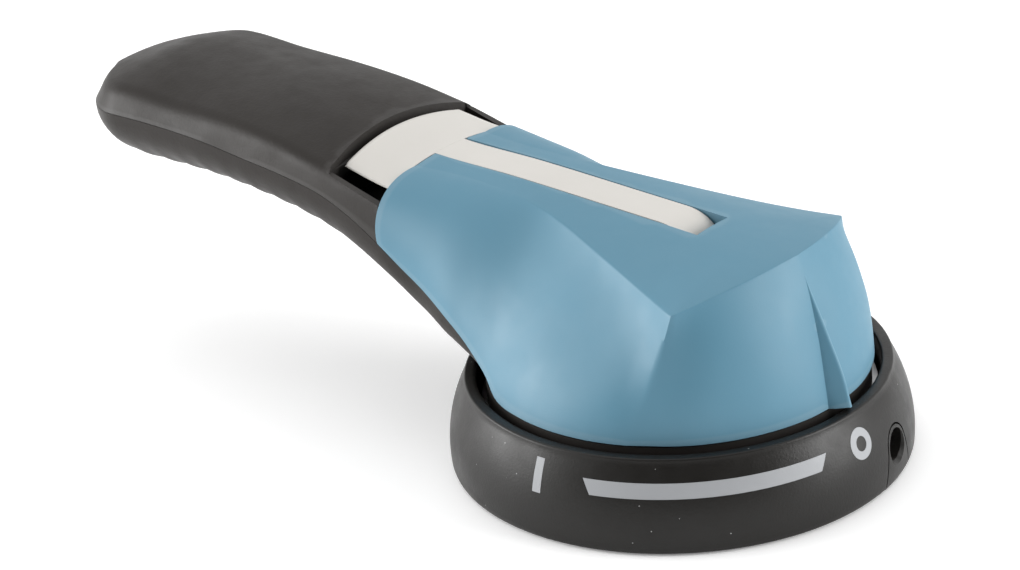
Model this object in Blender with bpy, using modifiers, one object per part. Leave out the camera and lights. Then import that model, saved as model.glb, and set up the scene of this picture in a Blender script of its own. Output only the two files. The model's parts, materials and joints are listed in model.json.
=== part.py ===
"""Rotary door handle of a manual transfer switch, in 30 separate pieces.

A round escutcheon is screwed to a panel door. A hollow handle turns in it about Z and drives the
switch's square shaft. A flush lever in the handle's back lifts like a flap, opens a window for
padlocks and pushes a bolt down into the lock plate, so that the handle can't turn. A slide behind
a hole in the escutcheon's side releases the door interlock.

Frame: origin at the centre of the escutcheon's underside, +Z out of the door along the shaft,
+X towards the handle's pointer. The handle is symmetric about Y = 0, the escutcheon isn't.
Sizes below are millimetres.
"""

import math

import bmesh
import bpy
from mathutils import Matrix, Vector

MM = 0.001
GAP = 0.3                     # running clearance between neighbouring solids

# Escutcheon: a ring whose outer wall is an arc in section.
RING_HEIGHT = 15.4
RING_RADIUS = 39.35           # widest point of the outer wall
RING_WIDEST_Z = 2.6
RING_WALL_ARC = 24.0          # radius of the wall's arc in section
RING_BORE = 34.0
FLOOR_TOP = 3.0
HUB_FLOOR_TOP = 6.0
HUB_BORE = 13.2
INSERT_SPACING = 28.0         # square pattern of the four door screws
INSERT_RADIUS = 3.0
PILLAR_CIRCLE = 30.0
PILLAR_ANGLES = (73.0, 193.0, 313.0)
PILLAR_RADIUS = 3.2
LOCK_PLATE_Z = (8.9, 11.0)
PORT_ANGLE = 13.2             # where the side hole sits, from the OFF mark at 0
PORT_Z = 6.1
PORT_RADIUS = 2.75
SLIDE_Z = (6.4, 7.9)          # the interlock slide's plate
SLIDE_TRAVEL = 3.0

# Handle: a drum that turns in the ring, and an arm that rises to a crowned grip.
DRUM_RADIUS = 32.4
DRUM_Z = (11.4, 15.6)
DECK_Z = (14.0, 17.0)
HUB_RADIUS = 12.9
COVER_RADIUS = 32.9
COVER_EDGE_Z = 16.05
COVER_WALL = 1.8
SHELL_WALL = 2.4
CROWN = 130.0                 # the grip's back falls by y * y / CROWN
TIP_CENTRE_X = -113.2         # the grip's round end starts here
TIP_LENGTH = 13.2
TIP_SEAM_LENGTH = 15.6
SADDLE_X = (-61.5, -47.6)     # the window between grip and cover
CHANNEL_HALF = 17.2
POCKET_HALF = 15.2
HEAD_ROOM_HALF = 17.7
HEAD_ROOM_Z = 37.4            # the pocket beside the lever's head reaches down to here
POCKET_FLOOR_Z = 35.5

# Locking lever, its pivot, and the bolt that it drives.
PIVOT = (3.0, 36.0)           # x and z of the lever's pivot pin
PIVOT_PIN_RADIUS = 1.5
HEAD_HALF = 14.9              # half width of the lever's head, at its rear edge
HEAD_THICK = 2.2
HEAD_STEPS = 12
BAR_HALF = 3.8
TAIL_HALF = 1.9
SLOT_HALF = 4.1
SLOT_END_X = 8.9
BOLT_X = 20.0
BOLT_RADIUS = 3.0
BOLT_TIP_Z = 13.2
BOLT_PIN_Z = 35.5
BOLT_PIN_RADIUS = 1.2
SOCKET_SQUARE = 10.2          # across flats of the shaft's square hole

# Screws that hold the shells together.
COVER_SCREWS_FRONT = ((8.0, 14.0), (8.0, -14.0))
COVER_SCREWS_REAR = ((-38.0, 9.0), (-38.0, -9.0))
GRIP_SCREWS_X = (-76.0, -106.0)
SCREW_SHANK = 0.9
SCREW_HEAD = 2.6
SEAT_Z = (23.4, 30.0)         # the rear cover screws' seats, from the head up to the cover's boss

# Heights and half-widths along the handle, as (x, value) design points.
COVER_CROWN = (               # the cover's top falls by y * y / this
    (-48.0, 130.0), (-30.0, 120.0), (-18.0, 104.0), (-9.0, 87.0), (2.0, 88.0), (9.0, 99.0),
    (15.0, 114.0), (18.1, 130.0), (26.0, 130.0),
)
SPINE_Z = (
    (-129.0, 46.8), (-122.0, 49.0), (-114.0, 50.6), (-100.0, 50.0), (-85.0, 49.5), (-72.0, 48.3),
    (-60.0, 46.3), (-49.0, 44.4), (-30.0, 43.9), (-9.0, 42.9), (9.0, 41.95), (26.0, 40.6),
)
CREASE_HALF = ((-116.0, 17.8), (-90.0, 17.4), (-60.0, 18.8), (-47.0, 18.8))
SEAM_HALF = (
    (-116.0, 20.0), (-90.0, 19.6), (-70.0, 19.6), (-48.0, 20.2), (-39.8, 20.3), (-32.4, 22.2),
    (-24.0, 24.5), (-19.5, 26.2), (-15.0, 28.9),
)
SEAM_Z = (
    (-124.0, 43.6), (-108.0, 43.9), (-92.0, 43.2), (-80.0, 41.8), (-71.0, 40.8), (-61.6, 39.2),
    (-54.4, 36.5), (-48.0, 33.0), (-44.5, 30.6), (-39.8, 28.4), (-32.4, 25.0), (-28.5, 22.9),
    (-24.0, 20.8), (-19.5, 18.2), (-15.0, 16.0),
)
BELLY_Z = (
    (-124.0, 33.0), (-114.0, 31.4), (-95.0, 31.2), (-82.0, 30.3), (-70.0, 28.4), (-60.0, 25.4),
    (-50.0, 20.7), (-42.0, 17.1), (-36.0, 15.9), (-31.0, 15.8), (-20.0, 15.8),
)
WALL_TOP_Z = ((-61.5, 43.4), (-52.6, 40.9), (-47.0, 39.4))

# Stations in x of the loft that hollows the grip's lower shell.
CAVITY_X = (
    -119.0, -113.0, -100.0, -88.0, -78.0, -69.0, -61.0, -53.0, -46.0, -39.0, -33.0, -28.0, -19.5,
)

# The cover: each column starts on the spine, crosses the ridge and falls to the lower edge.
# Each row: ridge (x, y), Bezier handles (dy, dz) at the ridge and at the edge, edge (x, y, z).
COVER_COLUMNS = (
    ((-48.0, 9.0), (8.2, 0.5), (1.1, 6.0), (-48.0, 20.4, 33.3)),
    ((-42.0, 8.2), (8.4, 0.5), (1.0, 8.6), (-43.2, 20.4, 30.1)),
    ((-36.0, 8.0), (8.1, 0.4), (0.3, 9.4), (-37.3, 21.2, 27.3)),
    ((-30.0, 8.3), (7.4, 0.0), (-0.8, 9.6), (-31.4, 22.8, 24.7)),
    ((-24.5, 9.0), (6.3, -1.5), (-1.7, 9.2), (-26.0, 24.1, 21.8)),
    ((-18.5, 10.1), (4.7, -5.0), (-2.2, 9.6), (-20.0, 26.4, 18.6)),
    ((-12.0, 11.9), (4.6, -6.2), (-2.0, 10.0), (-14.8, 29.38, 16.05)),
    ((-6.0, 14.1), (4.2, -6.4), (-1.6, 9.6), (-8.0, 31.91, 16.05)),
    ((0.0, 16.1), (3.8, -6.4), (-1.2, 9.0), (-1.0, 32.88, 16.05)),
    ((6.0, 18.4), (3.0, -6.4), (-0.9, 8.4), (5.5, 32.44, 16.05)),
    ((12.5, 20.9), (2.0, -6.4), (-0.9, 7.6), (10.4, 31.21, 16.05)),
    ((18.1, 23.2), (1.0, -6.8), (-2.2, 5.6), (13.3, 30.09, 16.05)),
)
FRONT_RIDGE = ((18.1, 23.2), (20.9, 18.6), (23.0, 13.6), (24.6, 8.8), (25.5, 4.2), (25.9, 0.0))
FRONT_AZIMUTHS = (66.2, 51.0, 37.5, 24.5, 12.0, 0.0)
FRONT_BULGE = (1.6, 1.6, 1.5, 1.1, 0.55)    # how far the nose's faces bow out, corner to apex
SIDE_STEPS = 7
TOP_STEPS = 3

FIN_STATIONS = (              # the pointer's fin: height, apex x, half thickness
    (39.4, 26.3, 0.05), (35.0, 28.1, 0.55), (31.0, 29.95, 1.1), (27.0, 31.7, 1.6), (21.5, 34.0, 2.2),
    (COVER_EDGE_Z, 35.5, 2.6),
)

COLOURS = {
    "ring_black": ((0.030, 0.029, 0.027), 0.55, 0.0),
    "grip_black": ((0.045, 0.043, 0.041), 0.60, 0.0),
    "cover_blue": ((0.125, 0.279, 0.376), 0.45, 0.0),
    "lever_white": ((0.72, 0.69, 0.66), 0.45, 0.0),
    "rubber": ((0.02, 0.02, 0.02), 0.8, 0.0),
    "steel": ((0.55, 0.56, 0.58), 0.35, 1.0),
    "brass": ((0.72, 0.52, 0.25), 0.35, 1.0),
    "zinc": ((0.48, 0.49, 0.50), 0.45, 1.0),
}


def clear_scene():
    for obj in list(bpy.data.objects):
        bpy.data.objects.remove(obj, do_unlink=True)


def collection(name):
    found = bpy.data.collections.new(name)
    bpy.context.scene.collection.children.link(found)
    return found


def finish_of(node, finish):
    colour, roughness, metallic = COLOURS[finish]
    made = bpy.data.materials.new(node + "_" + finish)
    made.use_nodes = True
    shader = made.node_tree.nodes["Principled BSDF"]
    shader.inputs["Base Color"].default_value = (*colour, 1.0)
    shader.inputs["Roughness"].default_value = roughness
    shader.inputs["Metallic"].default_value = metallic
    return made


def link(name, mesh, where):
    obj = bpy.data.objects.new(name, mesh)
    where.objects.link(obj)
    if where is CUTTERS:
        obj.hide_render = True
        obj.display_type = "WIRE"
    return obj


def mesh_from(name, bm):
    """Millimetres in, metres out, with every face pointing outwards."""
    bmesh.ops.recalc_face_normals(bm, faces=bm.faces)
    bmesh.ops.scale(bm, vec=(MM, MM, MM), verts=bm.verts)
    mesh = bpy.data.meshes.new(name)
    bm.to_mesh(mesh)
    bm.free()
    return mesh


def box(name, low, high, where=None):
    bm = bmesh.new()
    bmesh.ops.create_cube(bm, size=1.0)
    size = [h - l for l, h in zip(low, high)]
    middle = [(h + l) / 2 for l, h in zip(low, high)]
    bmesh.ops.scale(bm, vec=size, verts=bm.verts)
    bmesh.ops.translate(bm, vec=middle, verts=bm.verts)
    return link(name, mesh_from(name, bm), where or CUTTERS)


def rod(name, radius, start, end, where=None, segments=32, end_radius=None):
    """A cylinder or cone from start to end."""
    start, end = Vector(start), Vector(end)
    bm = bmesh.new()
    bmesh.ops.create_cone(
        bm, cap_ends=True, segments=segments, radius1=radius,
        radius2=radius if end_radius is None else end_radius, depth=(end - start).length,
    )
    turn = (end - start).to_track_quat("Z", "Y").to_matrix().to_4x4()
    bmesh.ops.transform(bm, matrix=Matrix.Translation((start + end) / 2) @ turn, verts=bm.verts)
    return link(name, mesh_from(name, bm), where or CUTTERS)


def prism(name, outline, low, high, plane="XY", where=None):
    """A flat outline given in plane XY or XZ, from low to high along the third axis."""
    bm = bmesh.new()
    if plane == "XY":
        points, along = [(x, y, low) for x, y in outline], (0, 0, high - low)
    else:
        points, along = [(x, low, z) for x, z in outline], (0, high - low, 0)
    face = bm.faces.new([bm.verts.new(p) for p in points])
    grown = bmesh.ops.extrude_face_region(bm, geom=[face])["geom"]
    moved = [item for item in grown if isinstance(item, bmesh.types.BMVert)]
    bmesh.ops.translate(bm, vec=along, verts=moved)
    return link(name, mesh_from(name, bm), where or CUTTERS)


def turned(name, profile, where=None, segments=64):
    """A closed profile of (radius, z) points swept round the Z axis by a Screw modifier."""
    bm = bmesh.new()
    verts = [bm.verts.new((r * MM, 0, z * MM)) for r, z in profile]
    for a, b in zip(verts, verts[1:] + verts[:1]):
        bm.edges.new((a, b))
    mesh = bpy.data.meshes.new(name)
    bm.to_mesh(mesh)
    bm.free()
    obj = link(name, mesh, where or CUTTERS)
    screw = obj.modifiers.new("turn", "SCREW")
    screw.steps = screw.render_steps = segments
    screw.use_merge_vertices = True
    screw.merge_threshold = 0.05 * MM
    return obj


def loft(name, sections, where=None):
    """A closed solid through sections of equal point counts, capped at both ends."""
    bm = bmesh.new()
    rows = [[bm.verts.new(point) for point in section] for section in sections]
    count = len(rows[0])
    for row, after in zip(rows, rows[1:]):
        for i in range(count):
            j = (i + 1) % count
            bm.faces.new((row[i], row[j], after[j], after[i]))
    bm.faces.new(rows[0])
    bm.faces.new(rows[-1])
    bmesh.ops.remove_doubles(bm, verts=bm.verts, dist=0.001)
    bmesh.ops.triangulate(bm, faces=bm.faces)
    return link(name, mesh_from(name, bm), where or CUTTERS)


def coil(name, radius, wire, low, high, turns, middle, where, per_turn=9):
    """A compression spring: a POLY spline round a vertical line, with closed end turns."""
    curve = bpy.data.curves.new(name, "CURVE")
    curve.dimensions = "3D"
    curve.bevel_depth = wire / 2 * MM
    curve.bevel_resolution = 1
    curve.use_fill_caps = True
    count = int((turns + 2) * per_turn) + 1
    spline = curve.splines.new("POLY")
    spline.points.add(count - 1)
    rise = wire * 1.08
    for i, point in enumerate(spline.points):
        turn = i / per_turn
        if turn < 1:
            z = low + wire / 2 + rise * turn
        elif turn > turns + 1:
            z = high - wire / 2 - rise * (turns + 2 - turn)
        else:
            open_height = high - low - wire - 2 * rise
            z = low + wire / 2 + rise + open_height * (turn - 1) / turns
        angle = math.tau * turn
        place = (middle[0] + radius * math.cos(angle), middle[1] + radius * math.sin(angle), z)
        point.co = (*[v * MM for v in place], 1.0)
    return link(name, curve, where)


def boolean(target, other, operation):
    modifier = target.modifiers.new(operation.lower() + "_" + other.name, "BOOLEAN")
    modifier.operation = operation
    modifier.object = other
    return target


def cut(target, *others):
    for other in others:
        boolean(target, other, "DIFFERENCE")
    return target


def join(target, *others):
    for other in others:
        boolean(target, other, "UNION")
    return target


def part(obj, name, finish):
    """Names a solid as a piece of the object, with its own material."""
    for linked in list(obj.users_collection):
        linked.objects.unlink(obj)
    PARTS.objects.link(obj)
    obj.name = name
    obj.hide_render = False
    obj.display_type = "TEXTURED"
    obj.data.materials.clear()
    obj.data.materials.append(finish_of(name, finish))
    return obj


def polar(radius, degrees, z):
    angle = math.radians(degrees)
    return (radius * math.cos(angle), radius * math.sin(angle), z)


def at(table, x):
    """Smooth value at x through a short table of (x, value) design points."""
    if x <= table[0][0]:
        return table[0][1]
    if x >= table[-1][0]:
        return table[-1][1]
    for i in range(len(table) - 1):
        if x <= table[i + 1][0]:
            break
    x0, y0 = table[i]
    x1, y1 = table[i + 1]
    before = table[max(i - 1, 0)]
    after = table[min(i + 2, len(table) - 1)]
    slope0 = (y1 - before[1]) / (x1 - before[0])
    slope1 = (after[1] - y0) / (after[0] - x0)
    span = x1 - x0
    t = (x - x0) / span
    return (
        y0 * (2 * t**3 - 3 * t**2 + 1) + slope0 * span * (t**3 - 2 * t**2 + t)
        + y1 * (3 * t**2 - 2 * t**3) + slope1 * span * (t**3 - t**2)
    )


def tip_factor(x, length=TIP_SEAM_LENGTH):
    """1 along the grip, falling to 0 round its elliptic end."""
    if x >= TIP_CENTRE_X:
        return 1.0
    along = (TIP_CENTRE_X - x) / length
    return math.sqrt(max(0.0, 1 - along * along))


def grip_stations():
    """Stations in x from the grip's end, closer together where it rounds."""
    round_end = [TIP_CENTRE_X - TIP_SEAM_LENGTH * math.sin(math.radians(a)) for a in (86, 77, 64, 48, 27, 0)]
    return round_end + [-104.0, -93.0, -82.0, -72.0, -64.0, -57.0, -52.0, -48.3]


def upper_section(x, inset=0.0, floor=0.0):
    """Half outline of the grip's upper half: along the crown, round the crease, to the seam."""
    seam = at(SEAM_HALF, x) * tip_factor(x)
    crease = max(at(CREASE_HALF, x) * tip_factor(x, TIP_LENGTH), 0.62 * seam) - inset
    seam -= inset
    seam_z = at(SEAM_Z, x) + GAP / 2 - floor
    top = at(SPINE_Z, x) - inset
    if x < TIP_CENTRE_X - TIP_LENGTH:
        past = (TIP_CENTRE_X - TIP_LENGTH - x) / (TIP_SEAM_LENGTH - TIP_LENGTH)
        top += (seam_z + 1.2 - top) * past
    points = []
    crown = 5
    for i in range(crown):
        y = crease * 0.86 * i / (crown - 1)
        points.append((y, top - y * y / CROWN))
    shoulder_y, shoulder_z = points[-1]
    side_z = top - crease * crease / CROWN - min(1.6, 0.4 * (top - seam_z))
    points.append((crease * 0.95, (shoulder_z * 2 + side_z) / 3 + 0.2 * (shoulder_z - side_z)))
    points.append((crease + 0.1, side_z))
    points.append((seam, seam_z))
    return points


def mirrored(x, half):
    """Full ring of points from a half outline that starts on Y = 0."""
    right = [(x, y, z) for y, z in half]
    left = [(x, -y, z) for y, z in reversed(half[1:])]
    return right + left


def lower_section(x, inset=0.0):
    """Half outline of the underside: from the belly round to the seam, a squarish ellipse."""
    round_end = tip_factor(x)
    half = at(SEAM_HALF, x) * round_end - inset
    seam_z = at(SEAM_Z, x) - GAP / 2
    belly = at(BELLY_Z, x) + inset
    depth = max(seam_z - belly, 1.0) * (0.35 + 0.65 * round_end)
    squareness = 2.15 + 0.75 * min(1.0, max(0.0, (x + 45.0) / 12.0))
    points = []
    for degrees in (0, 17, 34, 50, 64, 77, 90):
        angle = math.radians(degrees)
        y = half * math.sin(angle) ** (2 / squareness)
        z = seam_z - depth * math.cos(angle) ** (2 / squareness)
        points.append((y, z))
    return points


def make_base_ring():
    wall = []
    for i in range(6):
        z = 1.0 + (RING_HEIGHT - 1.9) * (5 - i) / 5
        drop = RING_WALL_ARC - math.sqrt(RING_WALL_ARC**2 - (z - RING_WIDEST_Z) ** 2)
        wall.append((RING_RADIUS - drop, z))
    lip = [
        (RING_BORE + 0.35, RING_HEIGHT), (wall[0][0] - 0.75, RING_HEIGHT),
        (wall[0][0] - 0.2, RING_HEIGHT - 0.3),
    ]
    foot = [(39.0, 0.0), (32.8, 0.0), (32.8, 1.7), (29.2, 1.7), (29.2, 0.0), (16.2, 0.0), (16.2, 2.1)]
    inside = [(HUB_BORE, 2.1), (HUB_BORE, HUB_FLOOR_TOP), (25.0, HUB_FLOOR_TOP), (25.8, FLOOR_TOP)]
    inside += [(RING_BORE, FLOOR_TOP), (RING_BORE, RING_HEIGHT - 0.35)]
    ring = turned("base_ring", lip + wall + foot + inside, segments=46)
    for angle in PILLAR_ANGLES:
        x, y, _ = polar(PILLAR_CIRCLE, angle, 0)
        top = LOCK_PLATE_Z[0] - GAP
        join(ring, rod("pillar", PILLAR_RADIUS, (x, y, FLOOR_TOP - 0.5), (x, y, top), segments=14))
        cut(ring, rod("pillar_hole", 1.0, (x, y, FLOOR_TOP + 0.6), (x, y, 12), segments=10))
    for x in (-0.5, 0.5):
        for y in (-0.5, 0.5):
            place = (x * INSERT_SPACING, y * INSERT_SPACING)
            hole = rod("insert_hole", INSERT_RADIUS + GAP, (*place, -1), (*place, 8), segments=16)
            cut(ring, hole)
    cut(ring, port_arch("port_opening", GAP, RING_BORE - 1.0, RING_RADIUS + 3))
    return part(ring, "base_ring", "ring_black")


def port_arch(name, grow, near, far):
    """A tapered arch standing across the ring's wall at the side hole."""
    foot, head, rise = 5.2 + grow, 3.3 + grow, PORT_Z
    outline = [(-foot, -1.0 - grow), (foot, -1.0 - grow), (head, rise)]
    for degrees in (20, 45, 70, 90, 110, 135, 160, 180):
        angle = math.radians(degrees)
        outline.append((head * math.cos(angle), rise + head * math.sin(angle)))
    arch = prism(name, outline, -far, -near, plane="XZ")
    arch.rotation_euler = (0, 0, math.radians(90 + PORT_ANGLE))
    return arch


def make_port_insert():
    wall = []
    for i in range(5):
        z = 0.8 + 10.2 * (4 - i) / 4
        drop = RING_WALL_ARC - math.sqrt(RING_WALL_ARC**2 - (z - RING_WIDEST_Z) ** 2)
        wall.append((RING_RADIUS - drop, z))
    profile = [(RING_BORE + 0.1, 11.0)] + wall + [(39.0, 0.0), (RING_BORE + 0.1, 0.0)]
    insert = turned("port_insert", profile, segments=72)
    boolean(insert, port_arch("port_shape", 0.0, RING_BORE - 2.0, RING_RADIUS + 2), "INTERSECT")
    ends = [polar(radius, PORT_ANGLE, PORT_Z) for radius in (30, 42)]
    cut(insert, rod("port_hole", PORT_RADIUS, *ends, segments=24))
    return part(insert, "port_insert", "ring_black")


def make_gasket():
    gasket = turned("door_gasket", [(32.5, 1.4), (32.5, 0.0), (29.5, 0.0), (29.5, 1.4)], segments=40)
    return part(gasket, "door_gasket", "rubber")


def make_inserts():
    corners = ((1, 1), (-1, 1), (-1, -1), (1, -1))
    for number, (sx, sy) in enumerate(corners, 1):
        x, y = sx * INSERT_SPACING / 2, sy * INSERT_SPACING / 2
        insert = rod("threaded_insert", INSERT_RADIUS, (x, y, 0.3), (x, y, 5.7), segments=16)
        cut(insert, rod("thread_hole", 1.65, (x, y, -1), (x, y, 7), segments=12))
        part(insert, f"threaded_insert_{number}", "brass")


def make_lock_plate():
    low, high = LOCK_PLATE_Z
    plate = turned("lock_plate", [(33.4, high), (33.4, low), (14.5, low), (14.5, high)], segments=46)
    for angle in (0.0, -90.0):
        x, y, _ = polar(BOLT_X, angle, 0)
        cut(plate, rod("bolt_pocket", BOLT_RADIUS + 0.5, (x, y, 5), (x, y, 15), segments=18))
    for angle in PILLAR_ANGLES:
        countersink = [(3.2, high + 1), (3.2, high), (1.5, low + 0.4), (1.5, low - 1)]
        hole = turned("plate_hole", countersink + [(0, low - 1), (0, high + 1)], segments=16)
        hole.location = Vector(polar(PILLAR_CIRCLE, angle, 0)) * MM
        cut(plate, hole)
    part(plate, "lock_plate", "steel")
    for number, angle in enumerate(PILLAR_ANGLES, 1):
        tip, face = FLOOR_TOP + 1.2, high - 0.1
        profile = [(2.6, face), (0.75, low + 0.35), (0.75, tip), (0, tip), (0, face)]
        screw = turned("plate_screw", profile, segments=16)
        screw.location = Vector(polar(PILLAR_CIRCLE, angle, 0)) * MM
        part(screw, f"lock_plate_screw_{number}", "steel")


def make_interlock_slide():
    """A plate round the hub with a plunger that a tool reaches through the side hole."""
    plate_low, plate_high = SLIDE_Z
    hub_room, count = HUB_RADIUS + 0.6, 28
    outline, opening = [], []
    for i in range(count):
        angle = math.tau * (i + 0.5) / count
        across, along = math.sin(angle), math.cos(angle)
        stretch = SLIDE_TRAVEL if along > 0 else 0.0
        outline.append((18.0 * along + stretch, 16.6 * across))
        opening.append((hub_room * along + stretch, hub_room * across))
    slide = prism("interlock_slide", outline, plate_low, plate_high)
    join(slide, box("slide_tail", (17.0, -4.0, plate_low), (31.0, 4.0, plate_high)))
    cut(slide, prism("slide_opening", opening, plate_low - 1, plate_high + 1))
    join(slide, rod("plunger", 2.35, (29.2, 0, PORT_Z), (35.6, 0, PORT_Z), segments=20))
    slide.rotation_euler = (0, 0, math.radians(PORT_ANGLE))
    for cutter in list(slide.modifiers):
        cutter.object.parent = slide
    return part(slide, "interlock_slide", "steel")


def make_shaft_socket():
    profile = [(11.8, 20.0), (11.8, 17.3), (9.1, 17.3), (9.1, 0.8), (0.0, 0.8), (0.0, 20.0)]
    socket = turned("shaft_socket", profile, segments=32)
    half = SOCKET_SQUARE / 2
    cut(socket, box("square_hole", (-half, -half, -1), (half, half, 17.0)))
    return part(socket, "shaft_socket", "zinc")


def make_seals_and_rings():
    count, wire, middle = 8, 0.75, (12.05, 4.0)
    profile = []
    for i in range(count):
        angle = math.tau * i / count
        profile.append((middle[0] + wire * math.cos(angle), middle[1] - wire * math.sin(angle)))
    part(turned("hub_seal", profile, segments=32), "hub_seal", "rubber")
    ring = turned("retaining_ring", [(15.8, 1.7), (15.8, 0.6), (11.6, 0.6), (11.6, 1.7)], segments=36)
    cut(ring, box("ring_gap", (8.0, -2.0, -1.0), (20.0, 2.0, 4.0)))
    part(ring, "retaining_ring", "steel")


def drum_profile():
    return [
        (DRUM_RADIUS, DRUM_Z[1]), (DRUM_RADIUS, DRUM_Z[0]), (30.2, DRUM_Z[0]), (30.2, DECK_Z[0]),
        (HUB_RADIUS, DECK_Z[0]), (HUB_RADIUS, 5.2), (11.0, 5.2), (11.0, 2.8), (HUB_RADIUS, 2.8),
        (HUB_RADIUS, 2.0), (11.3, 2.0), (11.3, 0.35), (9.4, 0.35), (9.4, DECK_Z[1]), (30.4, DECK_Z[1]),
        (30.4, DRUM_Z[1]),
    ]


def saddle_cutter():
    """Everything above the side walls' sloping top, between the grip's arched rim and the cover."""
    rim = []
    for i in range(9):
        y = -24.0 + 48.0 * i / 8
        rim.append((SADDLE_X[0] + 1.6 - 2.4 * (1 - (y / 18.7) ** 2), y))
    front = -10.0
    outline = rim + [(front, 24.0), (front, -24.0)]
    block = prism("saddle", outline, 30.0, 60.0)
    slope = [(-75.0, 20.0), (front, 20.0), (front, 29.0), (-30.0, 34.6)]
    slope += [(x, at(WALL_TOP_Z, x)) for x in (-47.0, -52.6, -61.5)] + [(-75.0, 46.5)]
    boolean(block, prism("saddle_floor", slope, -30, 30, plane="XZ"), "DIFFERENCE")
    return block


def make_handle_body():
    body = turned("handle_body", drum_profile(), segments=44)
    grip = loft("grip_outer", [mirrored(x, upper_section(x)) for x in grip_stations()])
    for name, wall, floor, stations in (
        ("grip_cavity", SHELL_WALL, 6.0, (-119.0, -113.0, -100.0, -82.0, -70.0, -66.0)),
        ("wall_cavity", SHELL_WALL + 1.0, 8.0, (-62.0, -56.0, -52.0, -47.5)),
    ):
        cut(grip, loft(name, [mirrored(x, upper_section(x, wall, floor)) for x in stations]))
    join(grip, box("grip_bulkhead", (-66.0, -15.8, 36.0), (-63.6, 15.8, 44.5)))
    # The channel carries the load from the grip down to the drum.
    channel = prism("channel", [
        (-65.0, 32.6), (-47.0, 32.0), (-33.0, 21.4), (-28.0, 16.6), (-18.0, 14.6), (-18.0, 24.0),
        (-30.0, 30.0), (-40.0, 34.6), (-47.0, 38.4), (-53.0, 40.6), (-60.0, 42.6), (-65.0, 44.0),
    ], -CHANNEL_HALF, CHANNEL_HALF, plane="XZ")
    pocket = prism("pocket", [
        (-63.4, POCKET_FLOOR_Z), (-46.0, POCKET_FLOOR_Z - 0.5), (-31.5, 24.6), (-25.0, 17.6), (-10.0, 17.0),
        (-10.0, 60.0), (-63.4, 60.0),
    ], -POCKET_HALF, POCKET_HALF, plane="XZ")
    room = []
    for x in CAVITY_X:
        half = lower_section(x, SHELL_WALL + GAP)
        room.append(mirrored(x, half + [(half[-1][0], half[-1][1] + 30.0)]))
    boolean(channel, loft("channel_room", room), "INTERSECT")
    join(channel, box("channel_neck", (-27.2, -CHANNEL_HALF, 15.0), (-18.0, CHANNEL_HALF, 23.0)))
    cut(channel, pocket)
    join(body, channel, grip)
    cut(body, saddle_cutter())
    cut(body, box("head_room", (-60.4, -HEAD_ROOM_HALF, HEAD_ROOM_Z), (-40.0, HEAD_ROOM_HALF, 60.0)))
    # Ears for the pivot pin, arched over the shaft socket, and the boss that guides the bolt.
    px, pz = PIVOT
    for side in (-1, 1):
        low, high = sorted((side * 4.6, side * 7.6))
        outline = [(15.0, 16.5), (12.4, 16.5), (12.4, 20.4), (-12.4, 20.4), (-12.4, 16.5), (-16.0, 16.5)]
        outline += [(px - 3.2, pz + 2.2), (px + 3.2, pz + 2.2)]
        join(body, prism("ear", outline, low, high, plane="XZ"))
    join(body, rod("bolt_boss", 5.6, (BOLT_X, 0, 13.9), (BOLT_X, 0, 21.0), segments=28))
    cut(body, rod("boss_hole", 4.6, (BOLT_X, 0, 5.0), (BOLT_X, 0, 30.0), segments=28))
    cut(body, rod("pin_hole", PIVOT_PIN_RADIUS + GAP, (px, -9, pz), (px, 9, pz), segments=20))
    for x, y in COVER_SCREWS_FRONT:
        cut(body, rod("deck_hole", 1.9, (x, y, 10), (x, y, 20), segments=16))
    for x, y in COVER_SCREWS_REAR:
        join(body, rod("screw_seat", 3.8, (x, y, SEAT_Z[0]), (x, y, SEAT_Z[1] + 0.4), segments=18))
        cut(body, rod("boss_room", 4.0, (x, y, SEAT_Z[1]), (x, y, 40.0), segments=18))
        cut(body, rod("channel_hole", 1.6, (x, y, 18), (x, y, 34.0), segments=14))
    for x in GRIP_SCREWS_X:
        bottom, top = at(BELLY_Z, x) + SHELL_WALL + 0.8, at(SPINE_Z, x) - 1.0
        join(body, rod("grip_boss", 3.6, (x, 0, bottom), (x, 0, top), segments=16))
        cut(body, rod("grip_boss_hole", 1.2, (x, 0, 20), (x, 0, top - 3.0), segments=14))
    return part(body, "handle_body", "grip_black")


def lower_stations():
    round_end = [TIP_CENTRE_X - TIP_SEAM_LENGTH * math.sin(math.radians(a)) for a in (84, 74, 60, 40, 18)]
    arm = [-112.0, -102.0, -92.0, -82.0, -74.0, -66.0, -59.0]
    return round_end + arm + [-52.0, -46.0, -40.0, -34.0, -29.0, -24.0, -18.0]


def make_grip_lower():
    outer = [mirrored(x, lower_section(x)) for x in lower_stations()]
    shell = loft("grip_lower_shell", outer)
    inner = []
    for x in CAVITY_X:
        half = lower_section(x, SHELL_WALL)
        inner.append(mirrored(x, half + [(half[-1][0], half[-1][1] + 5.0)]))
    cut(shell, loft("lower_cavity", inner))
    cut(shell, rod("drum_room", DRUM_RADIUS + 0.5, (0, 0, 5), (0, 0, 40), segments=58))
    for x in GRIP_SCREWS_X:
        belly = at(BELLY_Z, x)
        cut(shell, rod("grip_screw_hole", 1.8, (x, 0, belly - 4), (x, 0, belly + 6), segments=14))
        cut(shell, rod("grip_screw_sink", 3.3, (x, 0, belly - 3), (x, 0, belly + 1.8), segments=18))
    return part(shell, "grip_lower_shell", "grip_black")


def spine_height(x, y):
    return at(SPINE_Z, x) - y * y / at(COVER_CROWN, x)


def bezier(points, t):
    a, b, c, d = points
    s = 1 - t
    return a * s**3 + 3 * b * s * s * t + 3 * c * s * t * t + d * t**3


def outward_at(foot):
    """Plan direction out of the cover at a point of its lower edge: radial on the round part."""
    on_circle = foot[2] <= COVER_EDGE_Z
    return Vector((foot[0] if on_circle else 0.0, foot[1], 0.0)).normalized()


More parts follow.
